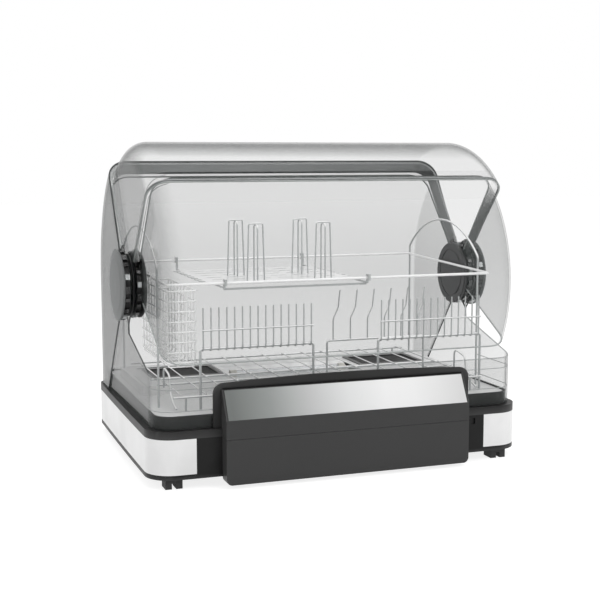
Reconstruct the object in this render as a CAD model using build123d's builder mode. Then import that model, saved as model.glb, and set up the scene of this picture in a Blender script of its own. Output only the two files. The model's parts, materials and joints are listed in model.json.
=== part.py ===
from build123d import *

import os
from math import cos, degrees, radians, sin, sqrt, tan

# Countertop dish sterilizer cabinet: a black base with a drawer console, clear covers that turn
# about two side hubs, and white wire racks inside. Millimetres, X to the right, Y to the back,
# Z up, origin on the table under the middle of the cabinet.

os.makedirs("parts", exist_ok=True)

# ---------------------------------------------------------------- base: driving sizes
overall_depth = 430.0
front_half_width = 284.5
rear_half_width = 281.5
side_bow = 1.2
front_corner_radius = 38.0
rear_corner_radius = 30.0
base_wall = 2.5
foot_height = 14.4
foot_width = 24.0
foot_depth = 22.0
foot_slot = 6.0
foot_slot_height = 8.0
band_bottom = 21.0
seam_height = 70.5
rim_top = 81.6
ring_top = 100.0
ring_wall = 3.0
band_thickness = 1.5
band_end = 220.0
shell_ledge = 8.4
face_gap = 0.3
fit_gap = 0.1

# ---------------------------------------------------------------- console and drawer
console_projection = 22.0
console_half_width = 183.8
console_bottom = 6.2
drawer_line = 69.2
drawer_line_gap = 0.4
slope_foot = 95.3
slope_rise = 40.0
slope_run = 22.0
panel_half_width = 180.6
panel_thickness = 3.0
console_wall = 3.0
upstand_half_width = 195.0
upstand_height = 143.0
upstand_crown = 5.5
upstand_corner = 15.0
upstand_thickness = 4.0
drawer_face_wall = 3.0
drawer_corner = 8.0
tray_half_width = 164.0
tray_bottom = 22.0
tray_top = 62.0
tray_length = 148.0
tray_wall = 2.0
runner_gap = 0.5
runner_lip = 5.0
runner_wall = 2.5
runner_level = 35.0
runner_tongue = 4.0
runner_tongue_reach = 4.5

# ---------------------------------------------------------------- hubs and clear covers
hub_height = 264.0
rear_shell_radius = 216.0
top_cover_radius = 208.6
front_cover_radius = 202.0
cover_wall = 2.5
cover_corner = 30.0
rear_shell_half_width = 280.0
guard_half_width = 277.5
top_cover_half_width = 272.5
front_cover_half_width = 262.5
rear_edge_angle = -33.5
shell_foot_angle = -142.0
top_cover_rear_angle = -42.0
top_cover_front_angle = 42.5
front_cover_top_angle = 38.0
front_cover_bottom_angle = 117.5
cover_ring_radius = 44.0
axle_radius = 16.0
running_gap = 0.05
hub_disc_radius = 49.0
hub_drum_radius = 46.0
hub_cap_radius = 52.6
hub_disc_inside = 255.0
hub_side_gap = 0.7
hub_drum_width = 7.0
hub_cap_width = 7.0
hub_cap_dome = 3.0
bow_thickness = 2.9
front_bow_width = 20.0
rear_bow_width = 25.0
guard_front_height = 153.0
guard_neck_height = 193.6
guard_corner = 32.0

# ---------------------------------------------------------------- racks
rail_wire = 4.0
frame_wire = 3.3
thin_wire = 2.2
rail_height = 276.5
rail_setback = 45.0
rear_rail_height = 284.0
end_frame_x = 252.0
end_frame_setback = 87.0
end_frame_rear_setback = 75.0
end_frame_shoulder = 297.5
end_frame_top = 348.5
shelf_left = -181.0
shelf_right = 54.0
shelf_rear_y = 92.0
shelf_sheet = 1.2
prong_height = 84.0
prong_top_width = 19.0
prong_foot_width = 24.0
prong_depth = 17.0
floor_grid_height = 118.0
floor_grid_pitch = 35.0
bowl_rack_advance = 38.8
bowl_rack_bottom = 181.0
bowl_rack_top = 242.0
bowl_rack_pitch = 11.5
bowl_rack_count = 15
bowl_rack_hook = 14.0
tray_floor_top = 112.0

# ---------------------------------------------------------------- derived places
base_front_y = -overall_depth / 2 + console_projection
base_rear_y = overall_depth / 2
console_front_y = -overall_depth / 2
hub_y = base_rear_y - shell_ledge - rear_shell_radius
hub_axis = Axis((0, hub_y, hub_height), (1, 0, 0))
rail_front_y = base_front_y + rail_setback
end_frame_front_y = base_front_y + end_frame_setback
end_frame_rear_y = base_rear_y - end_frame_rear_setback
bowl_rack_y = (base_front_y + hub_y) / 2 - bowl_rack_advance
SIDES = {"left": -1, "right": 1}


def base_plan(inset=0.0):
    """Outline of the base seen from above: straight front and rear, gently bowed sides."""
    middle_half_width = (front_half_width + rear_half_width) / 2 + side_bow
    middle_y = (base_front_y + base_rear_y) / 2
    with BuildSketch(mode=Mode.PRIVATE) as plan:
        with BuildLine():
            Line((-front_half_width, base_front_y), (front_half_width, base_front_y))
            ThreePointArc(
                (front_half_width, base_front_y),
                (middle_half_width, middle_y),
                (rear_half_width, base_rear_y),
            )
            Line((rear_half_width, base_rear_y), (-rear_half_width, base_rear_y))
            ThreePointArc(
                (-rear_half_width, base_rear_y),
                (-middle_half_width, middle_y),
                (-front_half_width, base_front_y),
            )
        make_face()
        fillet(plan.vertices().group_by(Axis.Y)[0], front_corner_radius)
        fillet(plan.vertices().group_by(Axis.Y)[-1], rear_corner_radius)
        if inset:
            offset(amount=-inset, kind=Kind.INTERSECTION)
    return plan.sketch


def hub_plane(x):
    """Plane square to the hub axis at x: local x runs to the back, local y runs up."""
    return Plane(origin=(x, hub_y, hub_height), x_dir=(0, 1, 0), z_dir=(1, 0, 0))


def lean_plane(angle):
    """Plane through the hub axis that leans forward from upright by an angle in degrees."""
    lean = radians(angle)
    return Plane(
        origin=(0, hub_y, hub_height), x_dir=(1, 0, 0), z_dir=(0, -cos(lean), -sin(lean))
    )


def staple(half_width, radius, wall, corner, inner_radius):
    """Closed outline of a bridge-shaped section: two cheeks and a top joined by round corners."""
    with BuildSketch(mode=Mode.PRIVATE) as section:
        with BuildLine():
            Polyline(
                (-half_width, inner_radius),
                (-half_width, radius),
                (half_width, radius),
                (half_width, inner_radius),
                (half_width - wall, inner_radius),
                (half_width - wall, radius - wall),
                (-half_width + wall, radius - wall),
                (-half_width + wall, inner_radius),
                close=True,
            )
        make_face()
        fillet(section.vertices().group_by(Axis.Y)[-1], corner)
        inner_corners = section.vertices().filter_by_position(
            Axis.Y, radius - wall - fit_gap, radius - wall + fit_gap
        )
        fillet(inner_corners, corner - wall)
    return section.sketch


def rim_point(angle, radius):
    """Local hub-plane point at a forward lean angle and a distance from the hub axis."""
    return (-radius * sin(radians(angle)), radius * cos(radians(angle)))


# ================================================================ base housing
deck_plate = rim_top - base_wall
ring_inset = shell_ledge + cover_wall + 1.0
post_width = 10.0
screw_radius = 1.9
screw_head_radius = 3.6
screw_head_height = 2.4
post_places = [(-225.0, -120.0), (225.0, -120.0), (-225.0, 165.0), (225.0, 165.0)]
bay_half_width = tray_half_width + runner_tongue_reach + 2.0
bay_bottom = tray_bottom - 3.0
bay_top = tray_top + 3.0
inlet_x = -180.0
inlet_height = 46.0
inlet_width = 30.0
inlet_tall = 22.0
fan_x = 172.5
fan_y = 73.5
fan_size = 80.0
fan_bottom = 24.0
fan_top = 49.0
slot_pitch = 8.0
slot_width = 4.0
peep_width = 5.0
peep_height = 9.0
peep_x = 203.0
peep_z = 62.0

with BuildPart() as base_housing:
    with BuildSketch(Plane.XY.offset(foot_height)):
        add(base_plan())
    extrude(amount=seam_height - foot_height)
    with BuildSketch(Plane.XY.offset(foot_height + base_wall)):
        add(base_plan(base_wall + band_thickness + fit_gap))
    extrude(amount=seam_height, mode=Mode.SUBTRACT)
    with BuildSketch(Plane.XY.offset(band_bottom)):
        add(base_plan())
        add(base_plan(band_thickness + fit_gap), mode=Mode.SUBTRACT)
        Rectangle(2 * band_end, 2 * overall_depth, mode=Mode.SUBTRACT)
    extrude(amount=seam_height - band_bottom, mode=Mode.SUBTRACT)
    with BuildSketch(Plane.XZ.offset(-base_front_y)):
        with Locations((0, (bay_bottom + bay_top) / 2)):
            Rectangle(2 * bay_half_width, bay_top - bay_bottom)
    extrude(amount=-4 * base_wall, mode=Mode.SUBTRACT)
    with BuildSketch(Plane.XZ.offset(-base_front_y)):
        with Locations((peep_x, peep_z)):
            Rectangle(peep_width, peep_height)
    extrude(amount=-base_wall, mode=Mode.SUBTRACT)
    with BuildSketch(Plane.XZ.offset(-base_rear_y)):
        with Locations((inlet_x, inlet_height)):
            Rectangle(inlet_width + 2 * fit_gap, inlet_tall + 2 * fit_gap)
    extrude(amount=4 * base_wall, mode=Mode.SUBTRACT)
    with BuildSketch(Plane.XY.offset(foot_height + base_wall)):
        with Locations(*post_places):
            Rectangle(post_width, post_width)
    extrude(amount=seam_height - foot_height - base_wall)
    with BuildSketch(Plane.XY.offset(foot_height)):
        with Locations(*post_places):
            Circle(screw_radius + fit_gap)
    extrude(amount=seam_height, mode=Mode.SUBTRACT)
    with BuildSketch(Plane.XY.offset(foot_height)):
        with Locations((fan_x, fan_y)):
            with GridLocations(slot_pitch, 0, 7, 1):
                Rectangle(slot_width, fan_size - 2 * slot_pitch)
    extrude(amount=base_wall, mode=Mode.SUBTRACT)
base_housing.part.label = "base_housing"
export_step(base_housing.part, "parts/base_housing.step")


# ================================================================ deck with rim, ring and upstand
duct_width = 110.0
duct_depth = 76.0
duct_wall = 1.6
duct_clearance = 1.0
vent_x = -fan_x

with BuildPart() as base_deck:
    with BuildSketch(Plane.XY.offset(seam_height)):
        add(base_plan())
    extrude(amount=rim_top - seam_height)
    with BuildSketch(Plane.XY.offset(seam_height)):
        add(base_plan(base_wall))
    extrude(amount=deck_plate - seam_height, mode=Mode.SUBTRACT)
    with BuildSketch(Plane.XY.offset(rim_top)):
        add(base_plan(ring_inset))
        add(base_plan(ring_inset + ring_wall), mode=Mode.SUBTRACT)
    extrude(amount=ring_top - rim_top)
    with BuildSketch(Plane.XY.offset(seam_height)):
        with Locations(*post_places):
            Rectangle(post_width, post_width)
    extrude(amount=deck_plate - seam_height)
    with BuildSketch(Plane.XY.offset(seam_height)):
        with Locations(*post_places):
            Circle(screw_radius + fit_gap)
    extrude(amount=deck_plate - seam_height, mode=Mode.SUBTRACT)
    with BuildSketch(Plane.XY.offset(deck_plate)):
        with Locations((fan_x, fan_y), (vent_x, fan_y)):
            Rectangle(duct_width + 2 * duct_clearance, duct_depth + 2 * duct_clearance)
    extrude(amount=base_wall, mode=Mode.SUBTRACT)
    upstand_back_y = base_front_y + shell_ledge - 1.0
    with BuildSketch(Plane.XZ.offset(-upstand_back_y)) as upstand_face:
        with BuildLine():
            Polyline(
                (-upstand_half_width, upstand_height),
                (-upstand_half_width, rim_top),
                (upstand_half_width, rim_top),
                (upstand_half_width, upstand_height),
            )
            ThreePointArc(
                (upstand_half_width, upstand_height),
                (0, upstand_height + upstand_crown),
                (-upstand_half_width, upstand_height),
            )
        make_face()
        fillet(upstand_face.vertices().group_by(Axis.Y)[-1], upstand_corner)
    extrude(amount=upstand_thickness)
base_deck.part.label = "base_deck"
export_step(base_deck.part, "parts/base_deck.step")


# ================================================================ silver bands, feet and screws
for side, sign in SIDES.items():
    with BuildPart() as trim_band:
        with BuildSketch(Plane.XY.offset(band_bottom + fit_gap)):
            add(base_plan())
            add(base_plan(band_thickness), mode=Mode.SUBTRACT)
            with Locations((-sign * front_half_width + sign * band_end, 0)):
                Rectangle(2 * front_half_width, 2 * overall_depth, mode=Mode.SUBTRACT)
        extrude(amount=seam_height - band_bottom - 2 * fit_gap)
    trim_band.part.label = f"trim_band_{side}"
    export_step(trim_band.part, f"parts/trim_band_{side}.step")

foot_x = 250.0
foot_inset = 20.0
with BuildPart() as feet:
    with BuildSketch():
        with GridLocations(2 * foot_x, overall_depth - console_projection - 2 * foot_inset, 2, 2):
            with Locations((0, (base_front_y + base_rear_y) / 2)):
                Rectangle(foot_width, foot_depth)
    extrude(amount=foot_height)
    with BuildSketch():
        with GridLocations(2 * foot_x, overall_depth - console_projection - 2 * foot_inset, 2, 2):
            with Locations((0, (base_front_y + base_rear_y) / 2)):
                Rectangle(foot_slot, foot_depth)
    extrude(amount=foot_slot_height, mode=Mode.SUBTRACT)
feet.part.label = "feet"
export_step(feet.part, "parts/feet.step")

with BuildPart() as case_screws:
    with BuildSketch(Plane.XY.offset(foot_height)):
        with Locations(*post_places):
            RegularPolygon(screw_head_radius, 6)
    extrude(amount=-screw_head_height)
    with BuildSketch(Plane.XY.offset(foot_height)):
        with Locations(*post_places):
            RegularPolygon(screw_radius, 6)
    extrude(amount=deck_plate - foot_height - 2.0)
case_screws.part.label = "case_screws"
export_step(case_screws.part, "parts/case_screws.step")


# ================================================================ console with mirror control panel
slope_length = sqrt(slope_run**2 + slope_rise**2)
slope_along = Vector(slope_run, slope_rise) * (1 / slope_length)
slope_inward = Vector(slope_rise, -slope_run) * (1 / slope_length)
slope_start = Vector(console_front_y, slope_foot)
slope_end = slope_start + slope_along * slope_length
panel_margin = 1.0
board_depth = 9.0
board_thickness = 1.6
upstand_front_y = upstand_back_y - upstand_thickness
console_plane = Plane(origin=(0, 0, 0), x_dir=(0, 1, 0), z_dir=(1, 0, 0))


def slope_point(along, inward):
    """Point of the console section, from the foot of the sloping face, in its own directions."""
    place = slope_start + slope_along * along + slope_inward * inward
    return (place.X, place.Y)


def slope_slab(near, far, margin):
    """Closed outline of a slab that lies parallel to the sloping face."""
    Polyline(
        slope_point(margin, near),
        slope_point(slope_length - margin, near),
        slope_point(slope_length - margin, far),
        slope_point(margin, far),
        close=True,
    )


with BuildPart() as console_housing:
    with BuildSketch(console_plane):
        with BuildLine():
            Polyline(
                (console_front_y, drawer_line + drawer_line_gap),
                (console_front_y, slope_foot),
                (slope_end.X, slope_end.Y),
                (upstand_front_y - face_gap, slope_end.Y),
                (upstand_front_y - face_gap, rim_top + face_gap),
                (base_front_y - face_gap, rim_top + face_gap),
                (base_front_y - face_gap, drawer_line + drawer_line_gap),
                close=True,
            )
        make_face()
    extrude(amount=console_half_width, both=True)
    with BuildSketch(console_plane):
        with BuildLine():
            slope_slab(-panel_thickness, panel_thickness, panel_margin)
        make_face()
    extrude(amount=panel_half_width, both=True, mode=Mode.SUBTRACT)
    with BuildSketch(console_plane):
        with BuildLine():
            slope_slab(0, board_depth, 3 * panel_margin)
        make_face()
    extrude(amount=panel_half_width - 2 * console_wall, both=True, mode=Mode.SUBTRACT)
console_housing.part.label = "console_housing"
export_step(console_housing.part, "parts/console_housing.step")

with BuildPart() as control_panel:
    with BuildSketch(console_plane):
        with BuildLine():
            slope_slab(0, panel_thickness, panel_margin + fit_gap)
        make_face()
    extrude(amount=panel_half_width - fit_gap, both=True)
control_panel.part.label = "control_panel"
export_step(control_panel.part, "parts/control_panel.step")

with BuildPart() as control_board:
    with BuildSketch(console_plane):
        with BuildLine():
            slope_slab(panel_thickness, panel_thickness + board_thickness, 8 * panel_margin)
        make_face()
    extrude(amount=panel_half_width / 2, both=True)
    with BuildSketch(console_plane):
        with BuildLine():
            slope_slab(panel_thickness + board_thickness, board_depth - 1.0, 16 * panel_margin)
        make_face()
    extrude(amount=panel_half_width / 8, both=True)
control_board.part.label = "control_board"
export_step(control_board.part, "parts/control_board.step")


# ================================================================ drawer and its runners
drawer_back_y = base_front_y - runner_gap
tray_front_y = console_front_y + drawer_face_wall
tray_rear_y = tray_front_y + tray_length

with BuildPart() as drawer_front:
    with BuildSketch(Plane.XZ.offset(-drawer_back_y)) as drawer_face:
        with Locations((0, (console_bottom + drawer_line) / 2)):
            Rectangle(2 * console_half_width, drawer_line - console_bottom)
        fillet(drawer_face.vertices().group_by(Axis.Y)[0], drawer_corner)
    extrude(amount=drawer_back_y - console_front_y)
    with BuildSketch(Plane.XZ.offset(-drawer_back_y)) as drawer_pocket:
        with Locations((0, (console_bottom + drawer_line) / 2)):
            Rectangle(
                2 * (console_half_width - drawer_face_wall),
                drawer_line - console_bottom - 2 * drawer_face_wall,
            )
        fillet(drawer_pocket.vertices().group_by(Axis.Y)[0], drawer_corner - drawer_face_wall)
    extrude(amount=drawer_back_y - tray_front_y, mode=Mode.SUBTRACT)
drawer_front.part.label = "drawer_front"
export_step(drawer_front.part, "parts/drawer_front.step")

with BuildPart() as drawer_tray:
    with BuildSketch(Plane.XY.offset(tray_bottom)):
        with Locations((0, (tray_front_y + tray_rear_y) / 2)):
            Rectangle(2 * tray_half_width, tray_length)
    extrude(amount=tray_top - tray_bottom)
    with BuildSketch(Plane.XY.offset(tray_bottom + tray_wall)):
        with Locations((0, (tray_front_y + tray_rear_y) / 2)):
            Rectangle(2 * (tray_half_width - tray_wall), tray_length - 2 * tray_wall)
    extrude(amount=tray_top, mode=Mode.SUBTRACT)
    tongue_front_y = base_front_y + 2 * base_wall
    with BuildSketch(Plane.XY.offset(runner_level - runner_tongue / 2)):
        with Locations((0, (tongue_front_y + tray_rear_y) / 2)):
            Rectangle(
                2 * (tray_half_width + runner_tongue_reach), tray_rear_y - tongue_front_y
            )
            Rectangle(2 * tray_half_width, tray_length, mode=Mode.SUBTRACT)
    extrude(amount=runner_tongue)
drawer_tray.part.label = "drawer_tray"
export_step(drawer_tray.part, "parts/drawer_tray.step")

runner_front_y = base_front_y + base_wall + band_thickness + runner_gap
runner_foot = 8.0
for side, sign in SIDES.items():
    with BuildPart() as drawer_runner:
        lip_x = tray_half_width + runner_gap
        web_x = lip_x + runner_lip
        slot_half = runner_tongue / 2 + runner_gap
        floor = foot_height + base_wall
        with BuildSketch(Plane.XZ.offset(-runner_front_y)):
            with BuildLine():
                Polyline(
                    (sign * lip_x, runner_level + slot_half),
                    (sign * lip_x, runner_level + slot_half + runner_wall),
                    (sign * (web_x + runner_wall), runner_level + slot_half + runner_wall),
                    (sign * (web_x + runner_wall), floor + runner_wall),
                    (sign * (web_x + runner_foot), floor + runner_wall),
                    (sign * (web_x + runner_foot), floor),
                    (sign * web_x, floor),
                    (sign * web_x, runner_level - slot_half - runner_wall),
                    (sign * lip_x, runner_level - slot_half - runner_wall),
                    (sign * lip_x, runner_level - slot_half),
                    (sign * web_x, runner_level - slot_half),
                    (sign * web_x, runner_level + slot_half),
                    close=True,
                )
            make_face()
        extrude(amount=-(tray_rear_y - runner_front_y))
    drawer_runner.part.label = f"drawer_runner_{side}"
    export_step(drawer_runner.part, f"parts/drawer_runner_{side}.step")


# ================================================================ clear covers
axle_hole_radius = axle_radius + running_gap
seat_below_hub = hub_height - rim_top
far = 2 * overall_depth


def radial_point(angle, below):
    """Local hub-plane point on a radial line, at a depth below the hub axis."""
    return (-below * tan(radians(180.0 - angle)), -below)


def cheek_rings(half_width, wall):
    """Full rings at both ends of a cover, which turn on or clamp to the hub axles."""
    for sign in SIDES.values():
        with BuildSketch(hub_plane(sign * (half_width - wall))) as ring:
            Circle(cover_ring_radius)
        extrude(ring.sketch, amount=sign * wall)


def bore_for_axles(half_width):
    """Clear both axle holes through the ends of a cover."""
    with BuildSketch(hub_plane(-half_width - 1.0)) as bore:
        Circle(axle_hole_radius)
    extrude(bore.sketch, amount=2 * half_width + 2.0, mode=Mode.SUBTRACT)


with BuildPart() as rear_shell:
    with BuildSketch(lean_plane(-90.0)):
        add(staple(rear_shell_half_width, rear_shell_radius, cover_wall, cover_corner, 0.0))
    extrude(amount=-seat_below_hub)
    with BuildSketch(hub_plane(-rear_shell_half_width)):
        with BuildLine():
            Polyline(
                (0, 0),
                radial_point(shell_foot_angle + 360.0, seat_below_hub),
                (-far, -seat_below_hub),
                (-far, 0),
                close=True,
            )
        make_face()
    extrude(amount=2 * rear_shell_half_width, mode=Mode.SUBTRACT)
    with BuildSketch(lean_plane(-90.0)):
        add(
            staple(
                rear_shell_half_width,
                rear_shell_radius,
                cover_wall,
                cover_corner,
                axle_hole_radius,
            )
        )
    revolve(axis=hub_axis, revolution_arc=90.0 + rear_edge_angle)
    cheek_rings(rear_shell_half_width, cover_wall)
    bore_for_axles(rear_shell_half_width)
rear_shell.part.label = "rear_shell"
export_step(rear_shell.part, "parts/rear_shell.step")

with BuildPart() as top_cover:
    with BuildSketch(lean_plane(top_cover_rear_angle)):
        add(
            staple(
                top_cover_half_width, top_cover_radius, cover_wall, cover_corner, axle_hole_radius
            )
        )
    revolve(axis=hub_axis, revolution_arc=top_cover_front_angle - top_cover_rear_angle)
    cheek_rings(top_cover_half_width, cover_wall)
    bore_for_axles(top_cover_half_width)
top_cover.part.label = "top_cover"
export_step(top_cover.part, "parts/top_cover.step")

with BuildPart() as front_cover:
    with BuildSketch(lean_plane(front_cover_top_angle)):
        add(
            staple(
                front_cover_half_width,
                front_cover_radius,
                cover_wall,
                cover_corner,
                axle_hole_radius,
            )
        )
    revolve(axis=hub_axis, revolution_arc=front_cover_bottom_angle - front_cover_top_angle)
    cheek_rings(front_cover_half_width, cover_wall)
    bore_for_axles(front_cover_half_width)
front_cover.part.label = "front_cover"
export_step(front_cover.part, "parts/front_cover.step")

guard_front_y = base_front_y + shell_ledge
with BuildPart() as lower_guard:
    with BuildSketch(Plane.XY.offset(rim_top)) as guard_plan:
        with Locations((0, guard_front_y + overall_depth / 2)):
            Rectangle(2 * guard_half_width, overall_depth)
        fillet(guard_plan.vertices().group_by(Axis.Y)[0], guard_corner)
        offset(amount=-cover_wall, kind=Kind.INTERSECTION, mode=Mode.SUBTRACT)
    extrude(amount=seat_below_hub)
    with BuildSketch(hub_plane(-guard_half_width)):
        ring_edge = rim_point(shell_foot_angle, cover_ring_radius)
        shoulder = guard_front_height - hub_height
        with BuildLine():
            Polyline(
                (-cover_ring_radius / 3, -cover_ring_radius + cover_wall),
                (-cover_ring_radius / 3, guard_neck_height - hub_height),
                (guard_front_y + guard_corner / 2 - hub_y, shoulder),
                (-far, shoulder),
                (-far, -seat_below_hub),
                radial_point(shell_foot_angle + 360.0, seat_below_hub),
                ring_edge,
                close=True,
            )
        make_face()
    extrude(amount=2 * guard_half_width, mode=Mode.INTERSECT)
    cheek_rings(guard_half_width, cover_wall)
    bore_for_axles(guard_half_width)
lower_guard.part.label = "lower_guard"
export_step(lower_guard.part, "parts/lower_guard.step")


# ================================================================ bows that stiffen the covers
bow_root_radius = hub_disc_radius + 1.0
bow_sweep = 18.0
bow_edge_margin = 2.5


def bow(half_width, radius, width, angle):
    """Bridge-shaped band of constant width that lines a cover and runs down to both hubs."""
    with BuildSketch(lean_plane(angle - bow_sweep)) as section:
        add(staple(half_width, radius, bow_thickness, cover_corner - cover_wall, bow_root_radius))
    revolve(section.sketch, axis=hub_axis, revolution_arc=2 * bow_sweep)
    with BuildSketch(lean_plane(angle)) as slab:
        with Locations((0, radius)):
            Rectangle(2 * half_width, 2 * radius)
    extrude(slab.sketch, amount=width / 2, both=True, mode=Mode.INTERSECT)


def bow_centre(edge_angle, width, radius):
    """Lean angle of a bow that lies just behind a cover's edge."""
    return edge_angle - degrees((width / 2 + bow_edge_margin) / radius)


with BuildPart() as front_bow:
    bow(
        top_cover_half_width - cover_wall - fit_gap,
        top_cover_radius - cover_wall - fit_gap,
        front_bow_width,
        bow_centre(top_cover_front_angle, front_bow_width, top_cover_radius),
    )
front_bow.part.label = "front_bow"
export_step(front_bow.part, "parts/front_bow.step")

with BuildPart() as rear_bow:
    bow(
        rear_shell_half_width - cover_wall - fit_gap,
        rear_shell_radius - cover_wall - fit_gap,
        rear_bow_width,
        bow_centre(rear_edge_angle, rear_bow_width, rear_shell_radius),
    )
rear_bow.part.label = "rear_bow"
export_step(rear_bow.part, "parts/rear_bow.step")


# ================================================================ hubs
hub_disc_outside = front_cover_half_width - cover_wall - hub_side_gap
hub_drum_inside = front_cover_half_width + hub_side_gap
hub_drum_outside = top_cover_half_width - cover_wall - hub_side_gap
hub_washer_inside = top_cover_half_width + hub_side_gap
hub_washer_outside = guard_half_width - cover_wall
hub_back_inside = rear_shell_half_width
hub_back_outside = hub_back_inside + hub_drum_width
bolt_radius = 3.0
bolt_head_radius = 6.5
bolt_head_height = 4.0
bolt_reach = 18.0
disc_groove_radius = 38.0
disc_groove_width = 2.0
disc_groove_depth = 1.0
disc_chamfer = 1.5

for side, sign in SIDES.items():
    with BuildPart() as hub_disc:
        with BuildSketch(hub_plane(sign * hub_disc_inside)):
            Circle(hub_disc_radius)
        extrude(amount=sign * (hub_disc_outside - hub_disc_inside))
        inside_face = hub_disc.faces().sort_by(Axis.X)[0 if sign > 0 else -1]
        chamfer(inside_face.edges(), disc_chamfer)
        with BuildSketch(hub_plane(sign * hub_disc_inside)):
            Circle(disc_groove_radius)
            Circle(disc_groove_radius - disc_groove_width, mode=Mode.SUBTRACT)
        extrude(amount=sign * disc_groove_depth, mode=Mode.SUBTRACT)
        with BuildSketch(hub_plane(sign * hub_disc_outside)):
            Circle(axle_radius)
        extrude(amount=sign * (hub_back_inside - hub_disc_outside))
        with BuildSketch(hub_plane(sign * hub_back_inside)):
            Circle(bolt_radius + fit_gap)
        extrude(amount=-sign * bolt_reach, mode=Mode.SUBTRACT)
    hub_disc.part.label = f"hub_disc_{side}"
    export_step(hub_disc.part, f"parts/hub_disc_{side}.step")

    with BuildPart() as hub_cap:
        with BuildSketch(Plane.XY.offset(hub_height)) as cap_section:
            with BuildLine():
                Polyline(
                    (sign * hub_back_outside, hub_y),
                    (sign * hub_back_outside, hub_y + hub_cap_radius - cover_wall),
                    (sign * (hub_back_outside + hub_cap_width / 4), hub_y + hub_cap_radius),
                    (
                        sign * (hub_back_outside + hub_cap_width - hub_cap_dome),
                        hub_y + hub_cap_radius,
                    ),
                )
                Line(
                    (
                        sign * (hub_back_outside + hub_cap_width - hub_cap_dome),
                        hub_y + hub_cap_radius,
                    ),
                    (
                        sign * (hub_back_outside + hub_cap_width - hub_cap_dome / 4),
                        hub_y + hub_cap_radius * 0.75,
                    ),
                )
                Line(
                    (
                        sign * (hub_back_outside + hub_cap_width - hub_cap_dome / 4),
                        hub_y + hub_cap_radius * 0.75,
                    ),
                    (sign * (hub_back_outside + hub_cap_width), hub_y + hub_cap_radius / 3),
                )
                Polyline(
                    (sign * (hub_back_outside + hub_cap_width), hub_y + hub_cap_radius / 3),
                    (sign * (hub_back_outside + hub_cap_width), hub_y),
                    (sign * hub_back_outside, hub_y),
                )
            make_face()
        revolve(axis=hub_axis)
    hub_cap.part.label = f"hub_cap_{side}"
    export_step(hub_cap.part, f"parts/hub_cap_{side}.step")


def hub_rings(inside, outside, radius, hole_radius):
    """A ring at each hub between two distances from the middle of the cabinet."""
    for sign in SIDES.values():
        with BuildSketch(hub_plane(sign * inside)) as ring:
            Circle(radius)
            Circle(hole_radius, mode=Mode.SUBTRACT)
        extrude(ring.sketch, amount=sign * (outside - inside))


with BuildPart() as hub_drums:
    hub_rings(hub_drum_inside, hub_drum_outside, hub_drum_radius, axle_hole_radius)
hub_drums.part.label = "hub_drums"
export_step(hub_drums.part, "parts/hub_drums.step")

with BuildPart() as hub_washers:
    hub_rings(hub_washer_inside, hub_washer_outside, hub_drum_radius, axle_hole_radius)
hub_washers.part.label = "hub_washers"
export_step(hub_washers.part, "parts/hub_washers.step")

with BuildPart() as hub_backs:
    hub_rings(hub_back_inside, hub_back_outside, hub_disc_radius, bolt_radius + fit_gap)
    for sign in SIDES.values():
        with BuildSketch(hub_plane(sign * hub_back_outside)):
            Circle(bolt_head_radius + fit_gap)
        extrude(amount=-sign * bolt_head_height, mode=Mode.SUBTRACT)
hub_backs.part.label = "hub_backs"
export_step(hub_backs.part, "parts/hub_backs.step")

with BuildPart() as hub_bolts:
    for sign in SIDES.values():
        with BuildSketch(hub_plane(sign * hub_back_outside)):
            RegularPolygon(bolt_head_radius, 6)
        extrude(amount=-sign * bolt_head_height)
        with BuildSketch(hub_plane(sign * hub_back_outside)):
            RegularPolygon(bolt_radius, 6)
        extrude(amount=-sign * (hub_drum_width + bolt_reach - 1.0))
hub_bolts.part.label = "hub_bolts"
export_step(hub_bolts.part, "parts/hub_bolts.step")


# ================================================================ floor tray and air vents
tray_inset = ring_inset + ring_wall + 0.5
floor_tray_wall = 2.0
floor_tray_low = 98.0
plateau_half_width = 256.0
plateau_front_y = -20.0
plateau_rear_y = 152.0
trough_half_length = 112.0
trough_x = -4.0
trough_y = 50.0
trough_half_width = 42.0
trough_depth = 12.0
vent_frame = 5.0
vent_flange = 1.5
vent_seat = 4.0
vent_slat = 2.6
vent_slat_count = 8


def channel_outline(half_width, depth, level):
    """Closed outline of a shallow round-bottomed channel, seen along X."""
    with BuildSketch(
        Plane(origin=(trough_x - trough_half_length, trough_y, level), x_dir=(0, 1, 0), z_dir=(1, 0, 0))
    ) as outline:
        with BuildLine():
            ThreePointArc((-half_width, 0), (0, -depth), (half_width, 0))
            Line((half_width, 0), (-half_width, 0))
        make_face()
    return outline.sketch


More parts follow.
